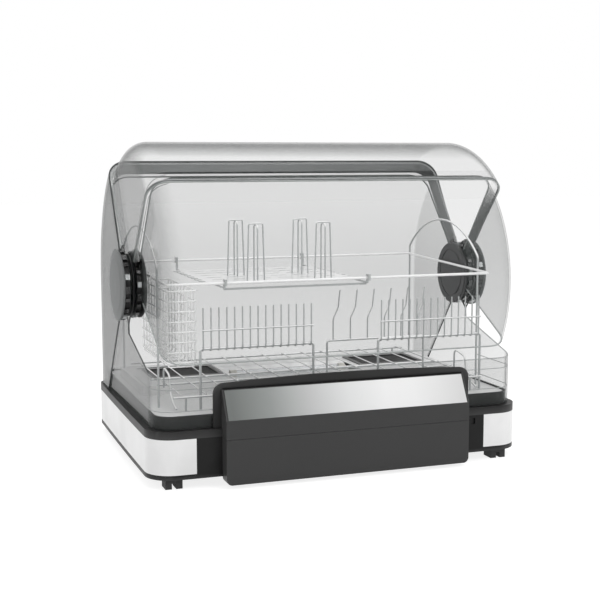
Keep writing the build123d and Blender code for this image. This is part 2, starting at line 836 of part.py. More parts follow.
with BuildPart() as floor_tray:
    with BuildSketch(Plane.XY.offset(rim_top)):
        add(base_plan(tray_inset))
    extrude(amount=floor_tray_low - rim_top)
    with BuildSketch(Plane.XY.offset(rim_top)):
        with Locations((0, (plateau_front_y + plateau_rear_y) / 2)):
            Rectangle(2 * plateau_half_width, plateau_rear_y - plateau_front_y)
    extrude(amount=tray_floor_top - rim_top)
    with BuildSketch(Plane.XY.offset(rim_top)):
        add(base_plan(tray_inset + floor_tray_wall))
    extrude(amount=floor_tray_low - floor_tray_wall - rim_top, mode=Mode.SUBTRACT)
    with BuildSketch(Plane.XY.offset(rim_top)):
        with Locations((0, (plateau_front_y + plateau_rear_y) / 2)):
            Rectangle(
                2 * (plateau_half_width - floor_tray_wall),
                plateau_rear_y - plateau_front_y - 2 * floor_tray_wall,
            )
    extrude(amount=tray_floor_top - floor_tray_wall - rim_top, mode=Mode.SUBTRACT)
    extrude(
        channel_outline(
            trough_half_width + floor_tray_wall, trough_depth + floor_tray_wall, tray_floor_top
        ),
        amount=2 * trough_half_length,
    )
    extrude(
        channel_outline(trough_half_width, trough_depth, tray_floor_top),
        amount=2 * trough_half_length,
        mode=Mode.SUBTRACT,
    )
    with BuildSketch(Plane.XY.offset(tray_floor_top - floor_tray_wall)):
        with Locations((fan_x, fan_y), (vent_x, fan_y)):
            Rectangle(duct_width + 2 * fit_gap, duct_depth + 2 * fit_gap)
    extrude(amount=floor_tray_wall, mode=Mode.SUBTRACT)
floor_tray.part.label = "floor_tray"
export_step(floor_tray.part, "parts/floor_tray.step")

for side, centre_x in {"left": vent_x, "right": fan_x}.items():
    with BuildPart() as air_grille:
        with BuildSketch(Plane.XY.offset(tray_floor_top)):
            with Locations((centre_x, fan_y)):
                Rectangle(duct_width + vent_seat, duct_depth + vent_seat)
                Rectangle(
                    duct_width - 2 * vent_frame, duct_depth - 2 * vent_frame, mode=Mode.SUBTRACT
                )
        extrude(amount=vent_flange)
        with BuildSketch(Plane.XY.offset(tray_floor_top - floor_tray_wall)):
            with Locations((centre_x, fan_y)):
                Rectangle(duct_width, duct_depth)
                Rectangle(
                    duct_width - 2 * vent_frame, duct_depth - 2 * vent_frame, mode=Mode.SUBTRACT
                )
                with GridLocations(0, duct_depth / (vent_slat_count + 1), 1, vent_slat_count):
                    Rectangle(duct_width - vent_frame, vent_slat)
        extrude(amount=floor_tray_wall)
    air_grille.part.label = f"air_grille_{side}"
    export_step(air_grille.part, f"parts/air_grille_{side}.step")


# ================================================================ warm air: duct, heater and fan
duct_top = tray_floor_top - floor_tray_wall
duct_plate = 2.0
fan_bore_radius = 37.0
fan_hub_radius = 16.5
fan_cup_wall = 2.5
fan_cup_gap = 1.0
fan_axle_radius = 1.5
fan_blade_count = 5
fan_blade_wall = 1.6
fan_blade_lean = 38.0
fan_blade_height = 15.0
fan_strut = 3.0
impeller_bottom = 30.0
impeller_top = 46.0
fan_leg_radius = 4.0
heater_bottom = 84.0
heater_height = 15.0
heater_fin = 1.0
heater_fin_count = 10
heater_bar = 6.0
fan_plane = Plane(origin=(fan_x, fan_y, 0), x_dir=(1, 0, 0), z_dir=(0, 0, 1))

with BuildPart() as air_duct:
    with BuildSketch(fan_plane.offset(fan_top)):
        Rectangle(duct_width, max(duct_depth, fan_size))
    extrude(amount=duct_plate)
    with BuildSketch(fan_plane.offset(fan_top)):
        Rectangle(duct_width, duct_depth)
    extrude(amount=duct_top - fan_top)
    with BuildSketch(fan_plane.offset(fan_top + duct_plate)):
        Rectangle(duct_width - 2 * duct_wall, duct_depth - 2 * duct_wall)
    extrude(amount=duct_top, mode=Mode.SUBTRACT)
    with BuildSketch(fan_plane.offset(fan_top)):
        Circle(fan_bore_radius)
    extrude(amount=duct_plate, mode=Mode.SUBTRACT)
air_duct.part.label = "air_duct"
export_step(air_duct.part, "parts/air_duct.step")

with BuildPart() as heater_block:
    with BuildSketch(fan_plane.offset(heater_bottom)):
        with GridLocations(0, duct_depth - 2 * duct_wall - heater_bar, 1, 2):
            Rectangle(duct_width - 2 * duct_wall, heater_bar)
        Rectangle(duct_width - 2 * duct_wall, heater_bar)
        with GridLocations(
            (duct_width - 2 * duct_wall - heater_fin) / (heater_fin_count - 1), 0, heater_fin_count, 1
        ):
            Rectangle(heater_fin, duct_depth - 2 * duct_wall)
    extrude(amount=heater_height)
heater_block.part.label = "heater_block"
export_step(heater_block.part, "parts/heater_block.step")

with BuildPart() as fan_frame:
    with BuildSketch(fan_plane.offset(fan_bottom)):
        Rectangle(fan_size, fan_size)
        Circle(fan_bore_radius, mode=Mode.SUBTRACT)
    extrude(amount=fan_top - fan_bottom)
    with BuildSketch(fan_plane.offset(fan_bottom)):
        Circle(fan_hub_radius)
        with PolarLocations(fan_bore_radius / 2 + fan_hub_radius / 2, 3):
            Rectangle(fan_bore_radius - fan_hub_radius + 2.0, fan_strut)
    extrude(amount=duct_plate)
    with BuildSketch(fan_plane.offset(foot_height + base_wall)):
        with GridLocations(fan_size - 2 * fan_leg_radius, fan_size - 2 * fan_leg_radius, 2, 2):
            Rectangle(2 * fan_leg_radius, 2 * fan_leg_radius)
    extrude(amount=fan_bottom - foot_height - base_wall)
fan_frame.part.label = "fan_frame"
export_step(fan_frame.part, "parts/fan_frame.step")

motor_bottom = fan_bottom + duct_plate
with BuildPart() as fan_motor:
    with BuildSketch(fan_plane.offset(motor_bottom)):
        Circle(fan_hub_radius - fan_cup_wall - fan_cup_gap)
    extrude(amount=impeller_top - fan_cup_wall - fan_cup_gap - motor_bottom)
    with BuildSketch(fan_plane.offset(motor_bottom)):
        Circle(fan_axle_radius)
    extrude(amount=impeller_top - motor_bottom)
fan_motor.part.label = "fan_motor"
export_step(fan_motor.part, "parts/fan_motor.step")

blade_reach = fan_bore_radius - fan_hub_radius - 0.5
with BuildPart() as fan_blade:
    with BuildSketch(
        Plane(
            origin=(fan_hub_radius - 1.0, 0, impeller_bottom + fan_blade_height / 2),
            x_dir=(0, cos(radians(fan_blade_lean)), sin(radians(fan_blade_lean))),
            z_dir=(1, 0, 0),
        )
    ):
        Rectangle(fan_blade_height, fan_blade_wall)
    extrude(amount=blade_reach)

with BuildPart() as fan_impeller:
    with BuildSketch(fan_plane.offset(impeller_bottom)):
        Circle(fan_hub_radius)
    extrude(amount=impeller_top - impeller_bottom)
    with BuildSketch(fan_plane.offset(impeller_bottom)):
        Circle(fan_hub_radius - fan_cup_wall)
    extrude(amount=impeller_top - impeller_bottom - fan_cup_wall, mode=Mode.SUBTRACT)
    with BuildSketch(fan_plane.offset(impeller_bottom)):
        Circle(fan_axle_radius + running_gap)
    extrude(amount=impeller_top, mode=Mode.SUBTRACT)
    with Locations((fan_x, fan_y, 0)):
        with PolarLocations(0, fan_blade_count):
            add(fan_blade.part)
fan_impeller.part.label = "fan_impeller"
export_step(fan_impeller.part, "parts/fan_impeller.step")


# ================================================================ lamp, power board and inlet
lamp_radius = 6.0
lamp_half_length = 92.0
lamp_height = 108.0
lamp_socket_length = 10.0
lamp_socket_radius = 8.0
lamp_socket_foot = 12.0
trough_floor = tray_floor_top - trough_depth

with BuildPart() as uv_lamp:
    with BuildSketch(Plane.YZ.offset(trough_x - lamp_half_length)):
        with Locations((trough_y, lamp_height)):
            Circle(lamp_radius)
    extrude(amount=2 * lamp_half_length)
uv_lamp.part.label = "uv_lamp"
export_step(uv_lamp.part, "parts/uv_lamp.step")

with BuildPart() as lamp_holders:
    for sign in SIDES.values():
        with BuildSketch(Plane.YZ.offset(trough_x + sign * (lamp_half_length - lamp_socket_length / 2))):
            with Locations((trough_y, (lamp_height + trough_floor + 1.0) / 2)):
                Rectangle(lamp_socket_foot, lamp_height - trough_floor - 1.0)
            with Locations((trough_y, lamp_height)):
                Circle(lamp_socket_radius - 1.0)
                Circle(lamp_radius + fit_gap, mode=Mode.SUBTRACT)
        extrude(amount=sign * lamp_socket_length)
lamp_holders.part.label = "lamp_holders"
export_step(lamp_holders.part, "parts/lamp_holders.step")

board_x = -172.5
board_y = 95.0
board_width = 100.0
board_length = 66.0
board_level = 25.0
board_post_radius = 3.0
with BuildPart() as power_board:
    with BuildSketch(Plane.XY.offset(board_level)):
        with Locations((board_x, board_y)):
            Rectangle(board_width, board_length)
    extrude(amount=board_thickness)
    with BuildSketch(Plane.XY.offset(foot_height + base_wall)):
        with Locations((board_x, board_y)):
            with GridLocations(
                board_width - 4 * board_post_radius, board_length - 4 * board_post_radius, 2, 2
            ):
                Rectangle(2 * board_post_radius, 2 * board_post_radius)
    extrude(amount=board_level - foot_height - base_wall)
    with BuildSketch(Plane.XY.offset(board_level + board_thickness)):
        with Locations((board_x - board_width / 4, board_y)):
            Rectangle(board_width / 3, board_length / 2)
    extrude(amount=board_width / 4)
    with BuildSketch(Plane.XY.offset(board_level + board_thickness)):
        with Locations((board_x + board_width / 4, board_y)):
            with GridLocations(board_width / 6, board_length / 3, 2, 2):
                Rectangle(board_width / 8, board_width / 8)
    extrude(amount=board_width / 6)
power_board.part.label = "power_board"
export_step(power_board.part, "parts/power_board.step")

inlet_depth = 24.0
inlet_socket_depth = 14.0
inlet_wall = 3.0
inlet_pin = 2.0
inlet_pin_gap = 8.6
with BuildPart() as power_inlet:
    with BuildSketch(Plane.XZ.offset(-base_rear_y)):
        with Locations((inlet_x, inlet_height)):
            Rectangle(inlet_width, inlet_tall)
    extrude(amount=inlet_depth)
    with BuildSketch(Plane.XZ.offset(-base_rear_y)):
        with Locations((inlet_x, inlet_height)):
            Rectangle(inlet_width - 2 * inlet_wall, inlet_tall - 2 * inlet_wall)
            with GridLocations(inlet_pin_gap, 0, 2, 1):
                Rectangle(inlet_pin, inlet_pin, mode=Mode.SUBTRACT)
    extrude(amount=inlet_socket_depth, mode=Mode.SUBTRACT)
power_inlet.part.label = "power_inlet"
export_step(power_inlet.part, "parts/power_inlet.step")


# ================================================================ wire racks: shared parts
weld = 0.5
hook_gap = 0.5
weld_reach = thin_wire - weld


def wire_section(start, along, wire):
    """Flat-sided section of a wire, square to its run: four sides, or six for rails."""
    with BuildSketch(Plane(origin=start, z_dir=along)) as section:
        if wire < rail_wire:
            Rectangle(wire, wire)
        else:
            RegularPolygon(wire / 2, 6)
    return section.sketch


def rod(start, end, wire):
    """Straight wire between two points, not yet fused to anything."""
    along = Vector(*end) - Vector(*start)
    with BuildPart(mode=Mode.PRIVATE) as straight:
        extrude(wire_section(start, along, wire), amount=along.length)
    return straight.part


def bent_wire(points, wire, closed=False):
    """Wire along straight runs with mitred bends, not yet fused to anything."""
    if closed:
        points = [(Vector(*points[0]) + Vector(*points[-1])) / 2, *points]
    with BuildPart(mode=Mode.PRIVATE) as bent:
        with BuildLine() as route:
            Polyline(*points, close=closed)
        path = route.wires()[0]
        section = wire_section(path @ 0, path % 0, wire)
        sweep(section, path=path, transition=Transition.RIGHT)
    return bent.part


# ================================================================ end hoops and upper rail
shoulder_bend = 7.0
rail_reach = end_frame_x - (frame_wire + rail_wire) / 2 - running_gap
rail_rear_y = end_frame_rear_y - (frame_wire + rail_wire) / 2 - running_gap
rail_front_bend = 3.0
rail_rear_bend = 6.0

for side, sign in SIDES.items():
    with BuildPart() as end_frame:
        with BuildLine(Plane.YZ.offset(sign * end_frame_x)) as hoop:
            Line((end_frame_front_y, floor_tray_low), (end_frame_front_y, end_frame_shoulder))
            ThreePointArc(
                (end_frame_front_y, end_frame_shoulder),
                ((end_frame_front_y + end_frame_rear_y) / 2, end_frame_top),
                (end_frame_rear_y, end_frame_shoulder),
            )
            Line((end_frame_rear_y, end_frame_shoulder), (end_frame_rear_y, tray_floor_top))
            fillet(
                hoop.vertices().filter_by_position(
                    Axis.Z, end_frame_shoulder - fit_gap, end_frame_shoulder + fit_gap
                ),
                shoulder_bend,
            )
        hoop_path = hoop.wires()[0]
        sweep(wire_section(hoop_path @ 0, hoop_path % 0, frame_wire), path=hoop_path)
    end_frame.part.label = f"end_frame_{side}"
    export_step(end_frame.part, f"parts/end_frame_{side}.step")

with BuildPart() as upper_rail:
    with BuildLine() as rail_route:
        FilletPolyline(
            (-rail_reach, rail_front_y, rail_height),
            (rail_reach, rail_front_y, rail_height),
            (rail_reach, rail_rear_y, rear_rail_height),
            (-rail_reach, rail_rear_y, rear_rail_height),
            radius=(rail_front_bend, rail_front_bend, rail_rear_bend, rail_rear_bend),
            close=True,
        )
    rail_path = rail_route.wires()[0]
    sweep(wire_section(rail_path @ 0, rail_path % 0, rail_wire), path=rail_path)
upper_rail.part.label = "upper_rail"
export_step(upper_rail.part, "parts/upper_rail.step")


# ================================================================ sliding cup shelf and its prongs
shelf_wire = 3.0
shelf_sheet_setback = 30.0
shelf_level = 270.9
shelf_sheet_front_y = rail_front_y + shelf_sheet_setback
shelf_hook_inset = 16.0
shelf_tooth = 10.0
shelf_tooth_pitch = 21.0
shelf_tooth_length = 7.0
shelf_slot_length = 22.0
shelf_slot_pitch = 34.0
shelf_row_pitch = 32.0
shelf_slot_width = 3.0
bearer_level = shelf_level - shelf_wire / 2 + weld
hook_reach = (rail_wire + shelf_wire) / 2 + hook_gap
shelf_middle_y = (shelf_sheet_front_y + shelf_rear_y) / 2
shelf_depth = shelf_rear_y - shelf_sheet_front_y
shelf_middle_x = (shelf_left + shelf_right) / 2
shelf_length = shelf_right - shelf_left

with BuildPart() as cup_shelf:
    with BuildSketch(Plane.XY.offset(shelf_level)):
        with Locations((shelf_middle_x, shelf_middle_y)):
            Rectangle(shelf_length, shelf_depth)
            with GridLocations(
                shelf_length - shelf_tooth_length,
                shelf_tooth_pitch,
                2,
                int(shelf_depth / shelf_tooth_pitch) - 1,
            ):
                Rectangle(shelf_tooth_length, shelf_tooth, mode=Mode.SUBTRACT)
            with GridLocations(shelf_slot_pitch, shelf_row_pitch, 6, 6):
                Rectangle(shelf_slot_length, shelf_slot_width, mode=Mode.SUBTRACT)
    extrude(amount=shelf_sheet)
    bearers = [
        bent_wire(
            [
                (bearer_x, rail_front_y - hook_reach, rail_height - rail_wire),
                (bearer_x, rail_front_y - hook_reach, rail_height + hook_reach),
                (bearer_x, rail_front_y + hook_reach, rail_height + hook_reach),
                (bearer_x, rail_front_y + hook_reach, bearer_level),
                (bearer_x, rail_rear_y - hook_reach, bearer_level),
                (bearer_x, rail_rear_y - hook_reach, rear_rail_height + hook_reach),
                (bearer_x, rail_rear_y + hook_reach, rear_rail_height + hook_reach),
                (bearer_x, rail_rear_y + hook_reach, rear_rail_height - rail_wire),
            ],
            shelf_wire,
        )
        for bearer_x in (shelf_left + shelf_hook_inset, shelf_right - shelf_wire)
    ]
    crossbars = [
        rod(
            (shelf_left + shelf_hook_inset, bar_y, bearer_level - shelf_wire + weld),
            (shelf_right - shelf_wire, bar_y, bearer_level - shelf_wire + weld),
            shelf_wire,
        )
        for bar_y in (rail_front_y + 2 * hook_reach, shelf_rear_y + 2 * shelf_wire)
    ]
    add(bearers + crossbars)
cup_shelf.part.label = "cup_shelf"
export_step(cup_shelf.part, "parts/cup_shelf.step")

prong_edge = 5.0
prong_outer_x = 109.0
prong_inner_x = 6.0
prong_places = [
    (prong_x, prong_y)
    for prong_x in (-prong_outer_x, -prong_inner_x)
    for prong_y in (shelf_sheet_front_y + prong_edge, shelf_middle_y)
]
prong_foot = shelf_level + shelf_sheet + fit_gap
prong_inner_height = prong_height - thin_wire + weld
with BuildPart() as cup_prongs:
    wide_loop = bent_wire(
        [
            (-prong_foot_width / 2, 0, 0),
            (-prong_top_width / 2, 0, prong_height),
            (prong_top_width / 2, 0, prong_height),
            (prong_foot_width / 2, 0, 0),
        ],
        thin_wire,
    )
    inner_loop = bent_wire(
        [
            (0, -prong_depth / 2, 0),
            (0, -prong_depth / 2, prong_inner_height),
            (0, prong_depth / 2, prong_inner_height),
            (0, prong_depth / 2, 0),
        ],
        thin_wire,
    )
    for prong_x, prong_y in prong_places:
        with Locations((prong_x, prong_y, prong_foot)):
            add([wide_loop, inner_loop])
cup_prongs.part.label = "cup_prongs"
export_step(cup_prongs.part, "parts/cup_prongs.step")


# ================================================================ cutlery basket
basket_right = -201.0
basket_setback = 20.0
basket_front_y = rail_front_y + basket_setback
basket_rear_y = 40.0
basket_bottom = 164.0
basket_top = 265.0
basket_loop_count = 6
basket_cradle_count = 5
basket_corner = 6.0
basket_hook_places = [-66.0, -22.0]
basket_hook_reach = (rail_wire + thin_wire) / 2 + hook_gap
basket_left = -rail_reach + basket_hook_reach + weld_reach
basket_floor = basket_bottom - 3 * thin_wire
basket_keel_level = basket_floor + weld_reach
basket_middle_x = (basket_left + basket_right) / 2
basket_middle_y = (basket_front_y + basket_rear_y) / 2
basket_loop_pitch = (basket_top - basket_bottom) / (basket_loop_count - 1)
basket_cradle_pitch = (basket_rear_y - basket_front_y - 2 * basket_corner) / (
    basket_cradle_count - 1
)

with BuildPart() as cutlery_basket:
    basket_loop = bent_wire(
        [
            (basket_left, basket_front_y, basket_bottom),
            (basket_right, basket_front_y, basket_bottom),
            (basket_right, basket_rear_y, basket_bottom),
            (basket_left, basket_rear_y, basket_bottom),
        ],
        thin_wire,
        closed=True,
    )
    cradle = bent_wire(
        [
            (basket_left + weld_reach, 0, basket_top),
            (basket_left + weld_reach, 0, basket_floor),
            (basket_right - weld_reach, 0, basket_floor),
            (basket_right - weld_reach, 0, basket_top),
        ],
        thin_wire,
    )
    keel = bent_wire(
        [
            (basket_middle_x, basket_front_y + weld_reach, basket_top),
            (basket_middle_x, basket_front_y + weld_reach, basket_keel_level),
            (basket_middle_x, basket_rear_y - weld_reach, basket_keel_level),
            (basket_middle_x, basket_rear_y - weld_reach, basket_top),
        ],
        thin_wire,
    )
    hooks = []
    for hook_y in basket_hook_places:
        rail_share = (hook_y - rail_front_y) / (rail_rear_y - rail_front_y)
        hook_top = (
            rail_height + rail_share * (rear_rail_height - rail_height) + basket_hook_reach
        )
        hooks.append(
            bent_wire(
                [
                    (basket_left - weld_reach, hook_y, basket_top - basket_loop_pitch - thin_wire),
                    (basket_left - weld_reach, hook_y, hook_top),
                    (-rail_reach - basket_hook_reach, hook_y, hook_top),
                    (-rail_reach - basket_hook_reach, hook_y, hook_top - 2 * rail_wire),
                ],
                thin_wire,
            )
        )
    add([keel, *hooks])
    with Locations(*[(0, 0, level * basket_loop_pitch) for level in range(basket_loop_count)]):
        add(basket_loop)
    with Locations((0, basket_middle_y, 0)):
        with GridLocations(0, basket_cradle_pitch, 1, basket_cradle_count):
            add(cradle)
cutlery_basket.part.label = "cutlery_basket"
export_step(cutlery_basket.part, "parts/cutlery_basket.step")


# ================================================================ bowl racks, plate rack, floor rack
bowl_rack_starts = {"left": -195.0, "right": 76.0}
bowl_rack_bar = 3.8
bowl_rack_middle = 210.0

for side, start_x in bowl_rack_starts.items():
    end_x = start_x + (bowl_rack_count - 1) * bowl_rack_pitch
    with BuildPart() as bowl_rack:
        bowl_tine = bent_wire(
            [
                (0, bowl_rack_y, bowl_rack_top),
                (0, bowl_rack_y, bowl_rack_bottom),
                (0, bowl_rack_y + bowl_rack_hook, bowl_rack_bottom),
            ],
            thin_wire,
        )
        bar_y = bowl_rack_y + (thin_wire + bowl_rack_bar) / 2 - weld
        bar_z = bowl_rack_bottom + (thin_wire + bowl_rack_bar) / 2 - weld
        leg_places = (start_x - rail_wire, end_x + rail_wire)
        legs = [
            rod((leg_x, bar_y, floor_tray_low), (leg_x, bar_y, bar_z + weld), bowl_rack_bar)
            for leg_x in leg_places
        ]
        middle_bar = rod(
            (start_x - thin_wire, bowl_rack_y - weld_reach, bowl_rack_middle),
            (end_x + thin_wire, bowl_rack_y - weld_reach, bowl_rack_middle),
            thin_wire,
        )
        low_bar = rod((leg_places[0], bar_y, bar_z), (leg_places[1], bar_y, bar_z), bowl_rack_bar)
        add([middle_bar, low_bar, *legs])
        with Locations(((start_x + end_x) / 2, 0, 0)):
            with GridLocations(bowl_rack_pitch, 0, bowl_rack_count, 1):
                add(bowl_tine)
    bowl_rack.part.label = f"bowl_rack_{side}"
    export_step(bowl_rack.part, f"parts/bowl_rack_{side}.step")

plate_rack_y = -60.0
plate_rack_bottom = 172.0
plate_rack_jog = 220.0
plate_rack_top = 249.0
plate_rack_start = 31.0
plate_rack_pitch = 28.4
plate_rack_count = 6
plate_rack_step = 8.0
plate_rack_rise = 10.0
plate_rack_lean = 3.0
plate_rack_end = plate_rack_start + (plate_rack_count - 1) * plate_rack_pitch
plate_rack_foot = 10.0
plate_rack_legs = (plate_rack_start - plate_rack_foot, plate_rack_end + plate_rack_foot)
with BuildPart() as plate_rack:
    plate_tine = bent_wire(
        [
            (0, plate_rack_y, plate_rack_bottom),
            (0, plate_rack_y, plate_rack_jog - plate_rack_rise),
            (plate_rack_step, plate_rack_y, plate_rack_jog),
            (plate_rack_step + plate_rack_lean, plate_rack_y, plate_rack_top),
        ],
        thin_wire,
    )
    plate_bar = rod(
        (plate_rack_legs[0], plate_rack_y, plate_rack_bottom),
        (plate_rack_legs[1], plate_rack_y, plate_rack_bottom),
        frame_wire,
    )
    legs = [
        rod(
            (leg_x, plate_rack_y, floor_tray_low),
            (leg_x, plate_rack_y, plate_rack_bottom + weld),
            frame_wire,
        )
        for leg_x in plate_rack_legs
    ]
    add([plate_bar, *legs])
    with Locations(((plate_rack_start + plate_rack_end) / 2, 0, 0)):
        with GridLocations(plate_rack_pitch, 0, plate_rack_count, 1):
            add(plate_tine)
plate_rack.part.label = "plate_rack"
export_step(plate_rack.part, "parts/plate_rack.step")

floor_rack_half_width = 240.0
floor_rack_front_setback = 49.0
floor_rack_rear_setback = 71.0
floor_rack_front_y = base_front_y + floor_rack_front_setback
floor_rack_rear_y = base_rear_y - floor_rack_rear_setback
floor_rack_bars = [floor_rack_front_y, -45.0, 0.0, 100.0, floor_rack_rear_y]
floor_rack_feet_x = 222.0
floor_rack_count = 12
floor_wire_level = floor_grid_height + (frame_wire + thin_wire) / 2 - weld
with BuildPart() as floor_rack:
    long_bars = [
        rod(
            (-floor_rack_half_width, bar_y, floor_grid_height),
            (floor_rack_half_width, bar_y, floor_grid_height),
            frame_wire,
        )
        for bar_y in floor_rack_bars
    ]
    cross_wire = rod(
        (0, floor_rack_front_y, floor_wire_level), (0, floor_rack_rear_y, floor_wire_level), thin_wire
    )
    rack_feet = [
        rod(
            (sign * floor_rack_feet_x, foot_y, foot_z),
            (sign * floor_rack_feet_x, foot_y, floor_grid_height + weld),
            frame_wire,
        )
        for sign in SIDES.values()
        for foot_y, foot_z in (
            (floor_rack_front_y, floor_tray_low),
            (floor_rack_rear_y, tray_floor_top),
        )
    ]
    add(long_bars + rack_feet)
    with GridLocations(floor_grid_pitch, 0, floor_rack_count, 1):
        add(cross_wire)
floor_rack.part.label = "floor_rack"
export_step(floor_rack.part, "parts/floor_rack.step")
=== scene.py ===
"""Studio scene of a countertop dish sterilizer cabinet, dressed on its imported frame."""

import json
import logging
import math
from dataclasses import dataclass, field
from enum import Enum
from typing import Callable, Optional, Sequence

import bmesh
import bpy
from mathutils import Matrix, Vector

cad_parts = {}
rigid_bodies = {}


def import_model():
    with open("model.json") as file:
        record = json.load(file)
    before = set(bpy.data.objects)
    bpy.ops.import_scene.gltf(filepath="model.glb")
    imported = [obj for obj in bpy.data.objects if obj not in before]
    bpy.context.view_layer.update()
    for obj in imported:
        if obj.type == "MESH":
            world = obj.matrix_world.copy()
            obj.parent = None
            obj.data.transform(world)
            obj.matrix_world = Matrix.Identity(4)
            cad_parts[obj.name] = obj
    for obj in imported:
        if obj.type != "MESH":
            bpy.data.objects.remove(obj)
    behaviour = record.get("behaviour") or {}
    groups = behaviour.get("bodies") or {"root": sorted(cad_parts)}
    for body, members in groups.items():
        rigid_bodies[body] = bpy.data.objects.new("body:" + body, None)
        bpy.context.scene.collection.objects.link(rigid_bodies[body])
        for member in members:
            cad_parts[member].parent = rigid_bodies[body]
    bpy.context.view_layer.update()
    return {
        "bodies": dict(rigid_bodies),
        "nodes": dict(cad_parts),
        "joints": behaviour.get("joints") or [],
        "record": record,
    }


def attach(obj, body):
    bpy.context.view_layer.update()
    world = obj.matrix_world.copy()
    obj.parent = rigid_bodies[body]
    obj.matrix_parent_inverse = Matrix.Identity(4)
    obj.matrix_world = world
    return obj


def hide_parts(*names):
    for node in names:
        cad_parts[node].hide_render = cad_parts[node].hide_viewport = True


LOG = logging.getLogger("dish_cabinet")
MM = 0.001
Point = tuple[float, float, float]
Span = tuple[float, float]


class Side(Enum):
    """The two ends of the cabinet, as signs along X."""

    LEFT = -1
    RIGHT = 1


class Body(Enum):
    """The rigid bodies that pieces ride on."""

    CABINET = "cabinet"
    FRONT_COVER = "front_cover"
    TOP_COVER = "top_cover"
    DRAWER = "drawer"
    CUP_SHELF = "cup_shelf"
    BASKET = "cutlery_basket"


# ---------------------------------------------------------------- places and sizes of the CAD, in mm
HUB_Y = -9.4
HUB_Z = 264.0
COVER_WALL = 2.5
HALF_WALL = COVER_WALL / 2
COVER_CORNER = 30.0
GUARD_FRONT_Y = -184.6
GUARD_HALF_WIDTH = 277.5
GUARD_CORNER = 32.0
RACK_FOOT_Z = 98.0
REAR_FOOT_Z = 112.0
RAIL_FRONT = (-148.0, 276.5)
RAIL_REAR = (136.3, 284.0)
FINE_WIRE = 2.2
BAR_WIRE = 3.3

# A cover's rim stays this far inside both faces of its wall, and arcs take this many chords.
RIM_INSET = 0.25
ARC_STEPS = 8


@dataclass(frozen=True)
class Shell:
    """One clear cover's section and sweep about the hub axis, in mm and degrees."""

    half_width: float
    radius: float


REAR_SHELL = Shell(280.0, 216.0)
TOP_COVER = Shell(272.5, 208.6)
FRONT_COVER = Shell(262.5, 202.0)
REAR_EDGE = -33.5
TOP_REAR_EDGE = -42.0
TOP_FRONT_EDGE = 42.5
FRONT_TOP_EDGE = 38.0
FRONT_BOTTOM_EDGE = 117.5
SHELL_FOOT = -142.0


def lean_point(x: float, radius: float, angle_deg: float) -> Point:
    """Point at a distance from the hub axis, leaning forward from upright by an angle."""
    lean = math.radians(angle_deg)
    return (x, HUB_Y - radius * math.sin(lean), HUB_Z + radius * math.cos(lean))


# ---------------------------------------------------------------- colour and node helpers
def linear(hex_colour: str, alpha: float = 1.0) -> tuple[float, float, float, float]:
    """Turn an sRGB hex value to the linear colour that shaders take.

    Args:
        hex_colour: Six hex digits, with or without a leading sign.
        alpha: Opacity to carry along.

    Returns:
        Linear red, green, blue and the alpha.
    """
    digits = hex_colour.lstrip("#")
    channels = []
    for start in (0, 2, 4):
        value = int(digits[start : start + 2], 16) / 255.0
        channels.append(value / 12.92 if value <= 0.04045 else ((value + 0.055) / 1.055) ** 2.4)
    return (channels[0], channels[1], channels[2], alpha)


def add_node(
    tree: bpy.types.NodeTree,
    kind: str,
    settings: Optional[dict] = None,
    inputs: Optional[dict] = None,
) -> bpy.types.Node:
    """Add a shader node with its settings and links.

    Args:
        tree: The node tree that takes it.
        kind: Blender's identifier of the node.
        settings: Attribute values.
        inputs: Socket values, or output sockets to link from, by socket name or index.

    Returns:
        The new node.
    """
    node = tree.nodes.new(kind)
    for name, value in (settings or {}).items():
        setattr(node, name, value)
    for socket, value in (inputs or {}).items():
        if isinstance(value, bpy.types.NodeSocket):
            tree.links.new(value, node.inputs[socket])
        else:
            node.inputs[socket].default_value = value
    return node


def ramp(node: bpy.types.Node, stops: Sequence[tuple[float, tuple]]) -> None:
    """Set a colour ramp's stops.

    Args:
        node: The colour ramp node.
        stops: Position and linear colour of each stop, in order.
    """
    elements = node.color_ramp.elements
    while len(elements) > 1:
        elements.remove(elements[-1])
    elements[0].position, elements[0].color = stops[0][0], stops[0][1]
    for position, colour in stops[1:]:
        elements.new(position).color = colour


def mapped(
    tree: bpy.types.NodeTree,
    value: bpy.types.NodeSocket,
    source: Span = (0.0, 1.0),
    target: Span = (0.0, 1.0),
) -> bpy.types.NodeSocket:
    """Map a value from one range to another, clamped at its ends.

    Args:
        tree: The node tree.
        value: The value's socket.
        source: The range that it comes in.
        target: The range that it leaves in.

    Returns:
        The mapped value's socket.
    """
    inputs = {0: value, 1: source[0], 2: source[1], 3: target[0], 4: target[1]}
    return add_node(tree, "ShaderNodeMapRange", inputs=inputs).outputs[0]


def combined(
    tree: bpy.types.NodeTree, operation: str, first: bpy.types.NodeSocket, second: object
) -> bpy.types.NodeSocket:
    """Combine two values by a mathematical operation.

    Args:
        tree: The node tree.
        operation: Blender's name of the operation.
        first: The first value's socket.
        second: The second value, or its socket.

    Returns:
        The result's socket.
    """
    return add_node(tree, "ShaderNodeMath", {"operation": operation}, {0: first, 1: second}).outputs[0]


def split(tree: bpy.types.NodeTree, vector: bpy.types.NodeSocket) -> Sequence[bpy.types.NodeSocket]:
    """Return the sockets of a vector's X, Y and Z."""
    return add_node(tree, "ShaderNodeSeparateXYZ", inputs={0: vector}).outputs


def blended(
    tree: bpy.types.NodeTree, share: bpy.types.NodeSocket, first: object, second: object
) -> bpy.types.NodeSocket:
    """Blend two colours.

    Args:
        tree: The node tree.
        share: How much of the second colour shows.
        first: The first colour, or its socket.
        second: The second colour, or its socket.

    Returns:
        The blended colour's socket.
    """
    inputs = {0: share, 6: first, 7: second}
    return add_node(tree, "ShaderNodeMix", {"data_type": "RGBA"}, inputs).outputs[2]


